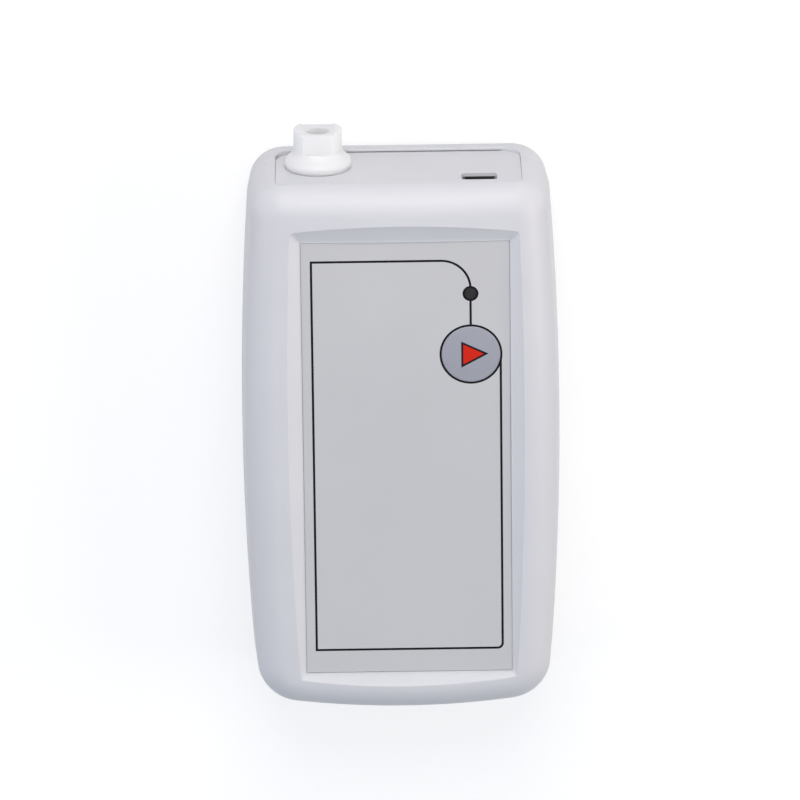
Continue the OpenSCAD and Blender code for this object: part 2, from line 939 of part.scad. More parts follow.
// Conical contact spring: wire radius, turns, and the radius at the plate and at the cell
wire_r = 0.32;
spring_turns = 2.5;
spring_wide = 4.4;
spring_narrow = 2.6;
spring_steps = 22;
function spring_route(length) =
    [for (i = [0:spring_steps]) let (k = i / spring_steps, a = 360 * spring_turns * k,
        r = spring_wide + (spring_narrow - spring_wide) * k)
        [r * cos(a), wire_r + (length - 2 * wire_r) * k, r * sin(a)]];
function least_gap(route, skip) =
    min([
        for (i = [0:len(route) - 1])
            for (j = [i + skip:1:len(route) - 1])
                norm(route[i] - route[j])
    ]) - 2 * wire_r;
echo(spring_gap = least_gap(spring_route(spring_l), 5));
module battery_springs()
{
    color("silver")
        for (index = [0:3])
            let (low = index % 2 == 0)
                translate([(index - 1.5) * cell_pitch, low ? bay_low + contact_t : bay_high - contact_t, cell_z])
                    rotate([0, 0, low ? 0 : 180])
                        swept_wire(spring_route(spring_l), wire_r);
}
module contact_plate(x_low, x_high, y)
{
    translate([x_low, y, cell_z - 5.5])
        cube([x_high - x_low, contact_t, 11]);
}
module battery_contacts()
{
    color("silver")
    {
        for (side = [-1, 1])
        {
            contact_plate(side * cell_pitch - 12, side * cell_pitch + 12, bay_low);
            contact_plate(side * 1.5 * cell_pitch - 5, side * 1.5 * cell_pitch + 5, bay_high - contact_t);
        }
        contact_plate(-cell_pitch / 2 - 5, cell_pitch / 2 + 5, bay_high - contact_t);
    }
}

// Fasteners
module case_screws()
{
    color("silver")
        at_spots(case_spots, 1)
            difference()
            {
                union()
                {
                    cylinder(d = 4.4, h = 2.2);
                    cylinder(d = 2.4, h = 18.5);
                }
                translate([0, 0, 0.5])
                    for (turn = [0, 90])
                        rotate([0, 0, turn])
                            cube([2.4, 0.6, 1.4], center = true);
            }
}
module board_screws()
{
    color("silver")
        at_spots(board_spots, board_z - 1)
        {
            cylinder(d = 3.4, h = 1);
            cylinder(d = 1.9, h = 6.3);
        }
}

front_cover();
rear_cover();
end_panel();
battery_door();
front_label();
start_key();
switch_plunger();
led_window();
hose_port();
port_gasket();
port_nut();
main_board();
usb_socket();
start_switch();
indicator_led();
processor_chip();
memory_chip();
clock_cell();
beeper();
pressure_sensor();
pump_motor();
pump_sleeve();
pump_rotor();
pump_head();
pump_diaphragm();
pump_valve_cover();
pump_screws();
air_manifold();
port_tube();
pump_tube();
valve_tube();
sensor_tube();
valve_frame();
valve_coil();
valve_head();
valve_plunger();
aa_cell_1();
aa_cell_2();
aa_cell_3();
aa_cell_4();
battery_springs();
battery_contacts();
case_screws();
board_screws();
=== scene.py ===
import json
import math

import bmesh
import bpy
from mathutils import Matrix, Vector


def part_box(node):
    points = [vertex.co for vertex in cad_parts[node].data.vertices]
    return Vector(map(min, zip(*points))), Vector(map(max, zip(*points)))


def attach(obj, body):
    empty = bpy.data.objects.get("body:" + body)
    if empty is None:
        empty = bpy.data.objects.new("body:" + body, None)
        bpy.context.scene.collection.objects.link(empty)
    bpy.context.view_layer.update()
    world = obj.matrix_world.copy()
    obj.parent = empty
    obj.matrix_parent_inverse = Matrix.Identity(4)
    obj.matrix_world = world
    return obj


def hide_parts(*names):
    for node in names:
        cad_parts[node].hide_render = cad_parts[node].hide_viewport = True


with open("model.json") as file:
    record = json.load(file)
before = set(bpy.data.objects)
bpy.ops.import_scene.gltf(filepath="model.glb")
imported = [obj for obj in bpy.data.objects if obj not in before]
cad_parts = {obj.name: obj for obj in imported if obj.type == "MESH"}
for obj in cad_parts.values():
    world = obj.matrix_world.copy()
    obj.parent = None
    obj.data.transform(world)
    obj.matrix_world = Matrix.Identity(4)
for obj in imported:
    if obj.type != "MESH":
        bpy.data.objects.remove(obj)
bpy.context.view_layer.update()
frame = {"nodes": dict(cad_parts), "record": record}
mm = 0.001  # shapes are worked out in millimetres and scaled as their meshes are made
scene = bpy.context.scene


# Camera, set from the outline and the label corners in the photo
cameraView = {
    "tilt": 20.12, "yaw": 0.386, "roll": -0.666, "distance": 1764.6, "slide": (0.0887, -0.944),
    "focal": 7945.2,  # in pixels of a frame 800 wide
    "frameWidth": 800, "sensor": 36, "clip": 10}


def addCamera(look):
    tilt = math.radians(look["tilt"])
    yaw = math.radians(look["yaw"])
    roll = math.radians(look["roll"])
    toCamera = Vector((-math.sin(yaw) * math.cos(tilt), math.sin(tilt), math.cos(yaw) * math.cos(tilt)))
    level = Vector((0, 1, 0)).cross(toCamera).normalized()
    upright = toCamera.cross(level)
    right = level * math.cos(roll) + upright * math.sin(roll)
    up = upright * math.cos(roll) - level * math.sin(roll)
    slideX, slideY = look["slide"]
    place = toCamera * look["distance"] - right * slideX - up * slideY
    data = bpy.data.cameras.new("camera")
    data.sensor_width = look["sensor"]
    data.lens = look["focal"] * look["sensor"] / look["frameWidth"]
    data.clip_end = look["clip"]
    camera = bpy.data.objects.new("camera", data)
    camera.matrix_world = Matrix.Translation(place * mm) @ Matrix((right, up, toCamera)).transposed().to_4x4()
    scene.collection.objects.link(camera)
    scene.camera = camera


addCamera(cameraView)
print("camera placed")


# Mesh helpers
def newObject(name, mesh):
    piece = bpy.data.objects.new(name, mesh)
    scene.collection.objects.link(piece)
    return piece


def turnFacesOut(piece):
    work = bmesh.new()
    work.from_mesh(piece.data)
    bmesh.ops.recalc_face_normals(work, faces=work.faces)
    work.to_mesh(piece.data)
    work.free()


def meshPiece(name, points, faces):
    mesh = bpy.data.meshes.new(name)
    mesh.from_pydata([tuple(Vector(p) * mm) for p in points], [], faces)
    mesh.update()
    piece = newObject(name, mesh)
    turnFacesOut(piece)
    return piece


def ringFaces(rings, count, closed=False):
    faces = []
    for k in range(rings if closed else rings - 1):
        low = k * count
        high = (k + 1) % rings * count
        for i in range(count):
            j = (i + 1) % count
            faces.append((low + i, low + j, high + j, high + i))
    return faces


def loftPiece(name, rings, startTip=None, endTip=None):
    count = len(rings[0])
    points = [p for ring in rings for p in ring]
    faces = ringFaces(len(rings), count)
    for tip, base in ((startTip, 0), (endTip, (len(rings) - 1) * count)):
        if tip is None:
            faces.append(tuple(range(base, base + count)))
            continue
        points.append(tip)
        faces += [(base + i, base + (i + 1) % count, len(points) - 1) for i in range(count)]
    return meshPiece(name, points, faces)


def turnedPiece(name, at, profile, along="Z", count=96):
    # The profile is a closed loop of (radius, height); a radius of 0 lies on the axis
    points = []
    faces = []
    starts = []
    for radius, height in profile:
        starts.append(len(points))
        turns = 1 if radius == 0 else count
        for i in range(turns):
            angle = 2 * math.pi * (i + 0.5) / count
            a = radius * math.cos(angle)
            b = radius * math.sin(angle)
            offset = (a, b, height) if along == "Z" else (a, height, -b)
            points.append(Vector(at) + Vector(offset))
    for k in range(len(profile)):
        n = (k + 1) % len(profile)
        flatA = profile[k][0] == 0
        flatB = profile[n][0] == 0
        if flatA and flatB:
            continue
        for i in range(count):
            j = (i + 1) % count
            face = [starts[k]] if flatA else [starts[k] + i, starts[k] + j]
            face += [starts[n]] if flatB else [starts[n] + j, starts[n] + i]
            faces.append(tuple(face))
    return meshPiece(name, points, faces)


def boxPiece(name, low, high):
    corners = [(x, y, z) for x in (low[0], high[0]) for y in (low[1], high[1]) for z in (low[2], high[2])]
    faces = [(0, 1, 3, 2), (4, 6, 7, 5), (0, 4, 5, 1), (2, 3, 7, 6), (0, 2, 6, 4), (1, 5, 7, 3)]
    return meshPiece(name, corners, faces)


def prismPiece(name, shape, low, high, along="Z"):
    # The shape is a closed list of points: (x, y) along Z, and (x, z) along Y
    def lay(height):
        if along == "Z":
            return [Vector((p[0], p[1], height)) for p in shape]
        return [Vector((p[0], height, p[1])) for p in shape]
    return loftPiece(name, [lay(low), lay(high)])


def applyModifiers(piece):
    bpy.context.view_layer.update()
    shaped = piece.evaluated_get(bpy.context.evaluated_depsgraph_get())
    mesh = bpy.data.meshes.new_from_object(shaped)
    piece.modifiers.clear()
    piece.data = mesh


def carve(piece, tools, operation="DIFFERENCE"):
    for tool in tools:
        modifier = piece.modifiers.new(tool.name, "BOOLEAN")
        modifier.operation = operation
        modifier.solver = "EXACT"
        modifier.object = tool
    applyModifiers(piece)
    for tool in tools:
        bpy.data.objects.remove(tool)


def smoothShade(piece, angle):
    work = bmesh.new()
    work.from_mesh(piece.data)
    for face in work.faces:
        face.smooth = True
    for edge in work.edges:
        edge.smooth = edge.calc_face_angle(0) < math.radians(angle)
    work.to_mesh(piece.data)
    work.free()


def softenEdges(piece, width, segments, bevelAngle, smoothAngle):
    # Large flat faces keep their own direction where they meet a narrow rounded edge
    bevel = piece.modifiers.new("edges", "BEVEL")
    bevel.width = width * mm
    bevel.segments = segments
    bevel.limit_method = "ANGLE"
    bevel.angle_limit = math.radians(bevelAngle)
    bevel.harden_normals = False
    applyModifiers(piece)
    smoothShade(piece, smoothAngle)
    shading = piece.modifiers.new("shading", "WEIGHTED_NORMAL")
    shading.keep_sharp = True
    applyModifiers(piece)


def joinPieces(name, pieces):
    work = bmesh.new()
    for piece in pieces:
        work.from_mesh(piece.data)
        bpy.data.objects.remove(piece)
    mesh = bpy.data.meshes.new(name)
    work.to_mesh(mesh)
    work.free()
    return newObject(name, mesh)


def evenSteps(first, last, count):
    # Even steps from the first value to the last, without the first
    return [first + (last - first) * i / count for i in range(1, count + 1)]


def arcPoints(centre, radius, start, stop, count):
    angles = [start] + evenSteps(start, stop, count)
    return [Vector((centre[0] + radius * math.cos(a), centre[1] + radius * math.sin(a))) for a in angles]


def roundedPlate(width, height, lowR, highR, midX=0, low=0, count=8):
    quarter = math.pi / 2
    reach = width / 2
    corners = (
        (midX + reach - highR, low + height - highR, highR, 0),
        (midX - reach + highR, low + height - highR, highR, 1),
        (midX - reach + lowR, low + lowR, lowR, 2),
        (midX + reach - lowR, low + lowR, lowR, 3),
    )
    shape = []
    for x, y, radius, turn in corners:
        shape += arcPoints((x, y), radius, turn * quarter, (turn + 1) * quarter, count)
    return shape


# Shared form of the two moulded covers
case = {
    "width": 69.97,  # the finer arc stays inside the facets of the solid
    "length": 123.998, "crownTop": 33.9, "partingZ": 11.7, "wall": 2.2, "sideR": 740, "sideMidY": 0.5,
    "endR": 228, "topCornerR": 8, "lowCornerR": 10.2, "frontEdgeR": 6.6, "rearEdgeR": 3, "frontDraft": 0.8,
    "rearDraft": 0.5, "crownX": 2.1, "crownY": 1.65, "crownMidY": 8, "innerTop": 28.3, "seamIn": 1.15,
    "seamRise": 0.8}
outlineSteps = {"end": 14, "corner": 14, "side": 44}  # points along each stretch of half the outline
topY = case["length"] / 2
partingZ = case["partingZ"]
crownTop = case["crownTop"]
wall = case["wall"]
frontDraft = case["frontDraft"]
rearDraft = case["rearDraft"]
frontEdgeR = case["frontEdgeR"]
rearEdgeR = case["rearEdgeR"]
innerTop = case["innerTop"]
seamIn = case["seamIn"]
seamRise = case["seamRise"]
frontCap = frontDraft + frontEdgeR
filletZ = crownTop - frontEdgeR


def circleCross(centreA, radiusA, centreB, radiusB):
    link = centreB - centreA
    gap = link.length
    along = (radiusA ** 2 - radiusB ** 2 + gap ** 2) / (2 * gap)
    side = math.sqrt(radiusA ** 2 - along ** 2)
    return centreA + link * (along / gap) + Vector((link.y, -link.x)) * (side / gap)


def angleOf(vector):
    return math.atan2(vector.y, vector.x)


sideCentre = Vector((case["width"] / 2 - case["sideR"], case["sideMidY"]))
endCentre = Vector((0, case["endR"] - topY))
topCornerY = topY - case["topCornerR"]
topCornerReach = math.sqrt((case["sideR"] - case["topCornerR"]) ** 2 - (topCornerY - case["sideMidY"]) ** 2)
topCorner = Vector((sideCentre.x + topCornerReach, topCornerY))
lowCorner = circleCross(
    sideCentre, case["sideR"] - case["lowCornerR"], endCentre, case["endR"] - case["lowCornerR"])
topAngle = angleOf(topCorner - sideCentre)
lowAngle = angleOf(lowCorner - sideCentre)
endAngle = angleOf(lowCorner - endCentre)


def outline(inset):
    count = outlineSteps["end"]
    corner = outlineSteps["corner"]
    half = [Vector((topCorner.x * i / count, topY - inset)) for i in range(count + 1)]
    half += arcPoints(topCorner, case["topCornerR"] - inset, math.pi / 2, topAngle, corner)[1:]
    half += arcPoints(sideCentre, case["sideR"] - inset, topAngle, lowAngle, outlineSteps["side"])[1:]
    half += arcPoints(lowCorner, case["lowCornerR"] - inset, lowAngle, endAngle, corner)[1:]
    half += arcPoints(endCentre, case["endR"] - inset, endAngle, -math.pi / 2, count)[1:]
    return half + [Vector((-p.x, p.y)) for p in half[-2:0:-1]]


def crown(x, y):
    acrossFall = case["crownX"] * (2 * x / case["width"]) ** 2
    return acrossFall + case["crownY"] * ((y - case["crownMidY"]) / topY) ** 2


def faceZ(p):
    # Height of the crowned face over a point
    return crownTop - crown(p.x, p.y)


def fadeValue(z, ends, first, last):
    # Runs from the first value to the last between two heights, and stays level outside them
    low, high = ends
    return first + (last - first) * min(1, max(0, (z - low) / (high - low)))


def flatRing(inset, z):
    return [Vector((p.x, p.y, z)) for p in outline(inset)]


def crownRing(inset, z):
    share = max(0, (z - partingZ) / (crownTop - partingZ))
    return [Vector((p.x, p.y, z - crown(p.x, p.y) * share)) for p in outline(inset)]


def roundedRings(ringAt, insetFrom, radius, height, rise, count, outwards=False, sweep=90):
    # Round between a wall and a flat: rise is +1 upwards and -1 downwards
    rings = []
    for i in range(count + 1):
        angle = math.radians(sweep) * (count - i if outwards else i) / count
        inset = insetFrom + radius * (1 - math.cos(angle))
        rings.append(ringAt(inset, height + rise * radius * math.sin(angle)))
    return rings


# Front cover: crowned face, chamfered label pocket, rounded edge and walls down to the seam
pocket = {
    "x": 1.15,
    "y": -1.46,
    "floorZ": 30.5,
    "width": 45.5,
    "length": 100.28,
    "sideRise": 0.74,  # height gained per millimetre out from the label
    "endRise": 0.605,
    "cornerR": 0.25,
    "mitre": 12,  # a higher power gives a sharper corner between two chamfers
    "footShare": 0.24,  # share of the height taken by the upright foot and by the small step at the edge
    "stepShare": 0.1,
    "stepRun": 0.07,
    "ledge": 0.3,  # narrow level rim between the foot and the chamfer
    "round": 0.07,
    "reachEnds": (0.2, 9),  # limits between which the chamfer's run is searched
}
seam = {"gap": 0.04, "round": 0.2, "sideGap": 0.1, "topGap": 0.15}
key = {
    "x": 15.27, "y": 22.7, "d": 12.8, "top": 31, "capZ": 29.95, "stemD": 3.9, "stemZ": 26.3, "gap": 0.15,
    "wellZ": 29.35, "guideD": 6.9, "guideLow": 1.4, "guideTop": 0.6}
led = {"y": 36.65, "d": 2.6, "flangeR": 2.3, "flange": 0.7, "rim": 0.12}
window = {
    "width": 53.5, "height": 21.7, "low": 5.8, "lowR": 4.25, "highR": 1.8, "lip": 0.12, "frontLip": 0.02,
    "lipEnds": (9, 20), "inside": 5, "outside": 3}
caseSpots = [(-26.5, 5.5), (26.5, 5.5), (-26.5, 52), (26.5, 52)]
boardSpots = [(-26.5, -44), (26.5, -44), (0.8, 54.5), (20.5, 3)]
boardTop = 21.45
post = {
    "d": 6, "holeD": 2.42, "holeTop": 21.7, "boardD": 4.5, "boardHoleD": 1.92, "boardHoleTop": 25.9,
    "sink": 1, "low": 0.3}
through = (20, 40)  # heights between which a hole goes right through the front
keySpot = (key["x"], key["y"])
ledSpot = (key["x"], led["y"])


def pocketWays():
    # Points of the pocket floor's edge, in the outline's order, each with its way outwards
    halfW = pocket["width"] / 2
    halfL = pocket["length"] / 2
    radius = pocket["cornerR"]
    cornerX = halfW - radius
    cornerY = halfL - radius
    end = outlineSteps["end"]
    mitreAngle = math.atan(pocket["sideRise"] / pocket["endRise"])

    def turn(y, first, middle, last):
        count = outlineSteps["corner"] // 2
        angles = evenSteps(first, middle, count) + evenSteps(middle, last, count)
        ways = [Vector((math.cos(a), math.sin(a))) for a in angles]
        return [(Vector((cornerX, y)) + way * radius, way) for way in ways]
    half = [(Vector((x, halfL)), Vector((0, 1))) for x in [0] + evenSteps(0, cornerX, end)]
    half += turn(cornerY, math.pi / 2, mitreAngle, 0)
    half += [(Vector((halfW, y)), Vector((1, 0))) for y in evenSteps(cornerY, -cornerY, outlineSteps["side"])]
    half += turn(-cornerY, 0, -mitreAngle, -math.pi / 2)
    half += [(Vector((x, -halfL)), Vector((0, -1))) for x in evenSteps(cornerX, 0, end)]
    mirrored = [(Vector((-p.x, p.y)), Vector((-w.x, w.y))) for p, w in half[-2:0:-1]]
    middle = Vector((pocket["x"], pocket["y"]))
    return [(middle + p, w) for p, w in half + mirrored]


def chamferReach(base, way):
    # Distance from the foot at which the chamfer meets the crowned face
    power = pocket["mitre"]
    rise = (abs(pocket["sideRise"] * way.x) ** power + abs(pocket["endRise"] * way.y) ** power) ** (1 / power)
    low, high = pocket["reachEnds"]
    for _ in range(40):
        middle = (low + high) / 2
        spot = base + way * middle
        if pocket["floorZ"] + rise * middle < faceZ(spot):
            low = middle
        else:
            high = middle
    return low


def pocketRings():
    floor = pocket["floorZ"]
    foot = pocket["footShare"]
    step = 1 - pocket["stepShare"]
    brink = 1 - pocket["stepRun"]
    small = pocket["round"]
    sites = [(base, way, chamferReach(base, way)) for base, way in pocketWays()]

    def ring(share, extra, height, drop=0):
        # The share is along the chamfer's run, the height is a share of its rise, or None on the crowned face
        found = []
        for base, way, reach in sites:
            spot = base + way * (reach * share + extra)
            z = faceZ(spot) if height is None else floor + (faceZ(base + way * reach) - floor) * height
            found.append(Vector((spot.x, spot.y, z - drop)))
        return found

    def along(share):
        return foot + (step - foot) * share / brink
    ledge = pocket["ledge"]
    rings = [ring(0, 0, 0), ring(0, 0.005, foot, small), ring(0, small * 0.3, foot, small * 0.25)]
    rings += [ring(0, small, foot), ring(0, ledge - small, foot), ring(0.03, ledge, along(0.03))]
    rings += [ring(share, ledge * (1 - share), along(share)) for share in (0.3, 0.6, 0.86)]
    rings += [ring(brink, -small * 0.3, step), ring(brink, small * 0.5, step, -small * 0.35)]
    rings += [ring(1, -small * 0.5, 1, small * 0.6), ring(1, small * 0.4, None, small * 0.2)]
    rings += [ring(1, small * 1.4, None, small * 0.03), ring(1, small * 3, None)]
    return rings


def frontRings():
    rings = pocketRings()
    inner = rings[-1]
    outer = crownRing(frontCap, crownTop)
    for share in (0.2, 0.4, 0.6, 0.8):
        spots = [a.lerp(b, share) for a, b in zip(inner, outer)]
        rings.append([Vector((p.x, p.y, faceZ(p))) for p in spots])
    rings += roundedRings(crownRing, frontDraft, frontEdgeR, filletZ, 1, 16, outwards=True)
    for share in (0.25, 0.5, 0.75):
        rings.append(crownRing(frontDraft * (1 - share), filletZ + (partingZ - filletZ) * share))
    rings += roundedRings(flatRing, 0, seam["round"], partingZ + seam["gap"] + seam["round"], -1, 4)
    lipZ = partingZ + seamRise + seam["topGap"]
    lipInset = seamIn - seam["sideGap"]
    rings += [flatRing(lipInset, partingZ + seam["gap"]), flatRing(lipInset, lipZ), flatRing(wall, lipZ)]
    innerR = frontEdgeR - wall
    rings += roundedRings(flatRing, wall + frontDraft, innerR, innerTop - innerR, 1, 6)
    return rings


def wallInset(x, y, z):
    # How far the outer wall has drawn in at a height, on either side of the parting line
    if z < partingZ:
        return rearDraft * (partingZ - z) / (partingZ - rearEdgeR)
    flat = partingZ + (z - partingZ) / (1 - crown(x, y) / (crownTop - partingZ))
    if flat < filletZ:
        return frontDraft * (flat - partingZ) / (filletZ - partingZ)
    rise = min(1, (flat - filletZ) / frontEdgeR)
    return frontDraft + frontEdgeR * (1 - math.sqrt(1 - rise ** 2))


def endWallY(x, z):
    inset = wallInset(x, topY, z)
    past = abs(x) - topCorner.x
    if past <= 0:
        return topY - inset
    return topCorner.y + math.sqrt(max(0, (case["topCornerR"] - inset) ** 2 - past ** 2))


def windowTool():
    # Follows the end wall, so that the opening gets a rounded lip that dies away towards the front
    low = window["low"]
    shape = roundedPlate(
        window["width"], window["height"], window["lowR"], window["highR"], low=low)
    middleZ = low + window["height"] / 2

    def ring(spread, depth, fixedY=None):
        found = []
        for p in shape:
            lip = fadeValue(p.y, window["lipEnds"], window["lip"], window["frontLip"])
            x = p.x + math.copysign(min(abs(p.x), spread * lip), p.x)
            z = p.y + math.copysign(spread * lip, p.y - middleZ)
            y = endWallY(x, z) - depth * lip if fixedY is None else fixedY
            found.append(Vector((x, y, z)))
        return found
    rings = [ring(0, 0, topY - window["inside"])]
    rings += roundedRings(ring, 0, 1, 1, -1, 4, sweep=80)
    rings.append(ring(1, 0, topY + window["outside"]))
    return loftPiece("windowTool", rings)


def rodTool(spot, low, high, d, count=64):
    return turnedPiece("rodTool", (*spot, 0), [(0, low), (d / 2, low), (d / 2, high), (0, high)], count=count)


def buildFrontCover():
    piece = loftPiece(
        "front_shell", frontRings(), Vector((pocket["x"], pocket["y"], pocket["floorZ"])),
        Vector((0, 0, innerTop)))
    roof = innerTop + post["sink"]
    posts = [rodTool(spot, partingZ + post["low"], roof, post["d"]) for spot in caseSpots]
    posts += [rodTool(spot, boardTop, roof, post["boardD"]) for spot in boardSpots]
    guideEnds = (innerTop - key["guideLow"], innerTop + key["guideTop"])
    posts.append(rodTool(keySpot, *guideEnds, key["guideD"]))
    carve(piece, posts, "UNION")
    tools = [rodTool(keySpot, key["wellZ"], through[1], key["d"] + 2 * key["gap"], 128)]
    tools.append(rodTool(keySpot, *through, key["stemD"] + 0.2))
    tools.append(rodTool(ledSpot, *through, led["d"] + 0.06))
    tools += [rodTool(spot, 5, post["holeTop"], post["holeD"], 32) for spot in caseSpots]
    tools += [rodTool(spot, 15, post["boardHoleTop"], post["boardHoleD"], 32) for spot in boardSpots]
    tools.append(windowTool())
    carve(piece, tools)
    smoothShade(piece, 28)
    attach(piece, "housing")
    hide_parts("front_cover")
    return piece


frontShell = buildFrontCover()
print("front cover modelled")


# Rear cover: tray with the battery bay, its door opening and the screw wells
bay = {
    "low": -54.9, "high": 0.4, "width": 57.8, "wall": 1.2, "endWall": 1.4, "top": 18.8, "cellTop": 17.8,
    "rail": 3, "sink": 0.4, "cutIn": 4.1}
door = {
    "width": 53.7, "high": -6, "z": 0.15, "top": 2.1, "gap": 0.15, "roof": 2.25, "travel": 8,
    "tabReach": 1.4, "tabLength": 6, "tabZ": 1.15, "tabSpots": (-14, -38),
    "tongueIn": 5, "tongueOut": 1.4, "tongueGap": 0.25,
    "grips": 6, "gripPitch": 2.2, "gripLow": -54, "gripR": 1.2, "gripWidth": 22, "gripRise": 0.7}
screwWell = {"d": 4.8, "deep": 3.2, "holeD": 2.7}


def rearRings():
    rings = [flatRing(wall + rearDraft + 0.8, wall), flatRing(wall + rearDraft, wall + 0.8)]
    rings.append(flatRing(wall, partingZ))
    rings.append(flatRing(wall, partingZ + seamRise))
    rings.append(flatRing(seamIn, partingZ + seamRise))
    rings.append(flatRing(seamIn, partingZ - seam["gap"]))
    rings += roundedRings(
        flatRing, 0, seam["round"], partingZ - seam["gap"] - seam["round"], 1, 4, outwards=True)
    for share in (0.33, 0.67):
        drop = partingZ + (rearEdgeR - partingZ) * share
        rings.append(flatRing(rearDraft * share, drop))
    rings += roundedRings(flatRing, rearDraft, rearEdgeR, rearEdgeR, -1, 12)
    return rings


def bayBlock(inset, width, low, high, bottom, top):
    piece = loftPiece("bayBlock", [flatRing(inset, bottom), flatRing(inset, top)])
    limit = boxPiece("bayLimit", (-width / 2, low, bottom - 1), (width / 2, high, top + 1))
    carve(piece, [limit], "INTERSECT")
    return piece


panelSlot = {"back": 60.4, "front": 61.15, "deep": 0.9}  # dark groove under the rear edge of the end panel


def buildRearCover():
    piece = loftPiece("rear_shell", rearRings(), Vector((0, 0, wall)), Vector((0, 0, 0)))
    outerBay = bay["width"] + 2 * bay["wall"]
    bayEnd = bay["high"] + bay["endWall"]
    sunk = wall - bay["sink"]
    parts = [bayBlock(2, outerBay, -topY, bayEnd, sunk, partingZ)]
    parts.append(bayBlock(2.9, outerBay, -topY, bayEnd, partingZ - 0.5, bay["top"]))
    parts += [rodTool(spot, sunk, partingZ, post["d"]) for spot in caseSpots]
    carve(piece, parts, "UNION")
    doorW = door["width"] + 2 * door["gap"]
    roof = door["roof"]
    high = door["high"]
    tools = [bayBlock(bay["cutIn"], doorW, bay["low"], high, -1, bay["rail"] + 0.5)]
    tools.append(bayBlock(bay["cutIn"], bay["width"], bay["low"], bay["high"], bay["rail"], bay["cellTop"]))
    tools.append(boxPiece("doorTool", (-doorW / 2, -topY - 5, -1), (doorW / 2, high + door["gap"], roof)))
    reach = door["tabReach"] + 0.2
    half = door["tabLength"] / 2 + 0.3
    for side in (-1, 1):
        for y in door["tabSpots"]:
            x = side * door["width"] / 2
            start = y - half - door["travel"]
            entryEnd = y + half - door["travel"]
            tools.append(boxPiece("railTool", (x - reach, start, 1), (x + reach, y + half, 2.4)))
            tools.append(boxPiece("entryTool", (x - reach, start, -1), (x + reach, entryEnd, 2)))
    inner = doorW / 2 - door["tongueIn"]
    tongueEnd = high + door["tongueOut"] + door["tongueGap"]
    tools.append(boxPiece("tongueTool", (-inner, high - 1, 1), (inner, tongueEnd, roof)))
    tools += [rodTool(spot, -1, 20, screwWell["holeD"], 48) for spot in caseSpots]
    tools += [rodTool(spot, -1, screwWell["deep"], screwWell["d"]) for spot in caseSpots]
    tools.append(windowTool())
    reach = window["width"] / 2 - window["lowR"]
    top = window["low"] + 0.1
    low = (-reach, panelSlot["back"], top - panelSlot["deep"])
    tools.append(boxPiece("panelSlotTool", low, (reach, panelSlot["front"], top)))
    carve(piece, tools)
    smoothShade(piece, 28)
    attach(piece, "housing")
    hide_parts("rear_cover")
    return piece


def buildDoor():
    rings = [flatRing(rearDraft, rearEdgeR)]
    rings += roundedRings(flatRing, rearDraft, rearEdgeR, rearEdgeR, -1, 12)[1:]
    piece = loftPiece("door_plate", rings, Vector((0, 0, rearEdgeR)), Vector((0, 0, 0)))
    half = door["width"] / 2
    high = door["high"]
    top = door["top"]
    carve(piece, [boxPiece("doorLimit", (-half, -topY - 1, door["z"]), (half, high, top))], "INTERSECT")
    parts = []
    reach = door["tabReach"] + 0.5
    span = door["tabLength"] / 2
    for side in (-1, 1):
        for y in door["tabSpots"]:
            x = side * (half - 0.5)
            parts.append(boxPiece("doorTab", (x - reach, y - span, door["tabZ"]), (x + reach, y + span, top)))
    inner = half - door["tongueIn"]
    low = (-inner, high - 1, door["tabZ"])
    parts.append(boxPiece("doorTongue", low, (inner, high + door["tongueOut"], top)))
    carve(piece, parts, "UNION")
    tools = []
    z = door["z"] - door["gripRise"]
    reach = door["gripWidth"] / 2
    for i in range(door["grips"]):
        y = door["gripLow"] + door["gripPitch"] * i
        circle = [(y + p.x, z + p.y) for p in arcPoints((0, 0), door["gripR"], 0, 2 * math.pi, 32)[:-1]]
        tools.append(loftPiece("gripTool", [[Vector((x, a, b)) for a, b in circle] for x in (-reach, reach)]))
    carve(piece, tools)
    softenEdges(piece, 0.12, 2, 30, 50)
    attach(piece, "rear_door")
    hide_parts("battery_door")
    return piece


rearShell = buildRearCover()
doorPlate = buildDoor()
print("rear cover and door modelled")


# End panel, hose port and data socket
panel = {
    "width": 53.4, "z": 5.98, "height": 21.52, "face": 61, "back": 58.4, "lowR": 4.15, "highR": 1.75,
    "leftLowR": 5.2, "rearRound": 0.14, "frontRound": 0.03, "roundEnds": (7, 22), "slotRound": 0.1}
port = {
    "x": -17.4, "z": 15.4, "flangeR": 7.3, "barrelR": 5.3, "boreR": 2.4, "reach": 8.7999, "flat": 4.25,
    "flatLow": 3.9, "earH": 0.5, "earGap": 6.8, "spigotR": 4, "round": 0.14,
    "past": 9}
usb = {
    "x": 17.5, "z": 23.4, "width": 7.3, "height": 3.9, "gap": 0.2, "face": 60.4, "depth": 9.2, "shell": 0.12,
    # The liner is painted shade: a dark sleeve inside the shell that stands in for the shade deep in the
    # socket
    "shadeLiner": 0.4, "shadeLinerIn": 0.02,
    "bladeHalf": 2.4, "bladeThick": 0.7, "bladeIn": 1.2, "bladeRise": 0.2}


def socketShape(inset, lowR, highR):
    bottom = usb["z"] - usb["height"] / 2
    return roundedPlate(
        usb["width"] - 2 * inset, usb["height"] - 2 * inset, lowR, highR, usb["x"], bottom + inset)


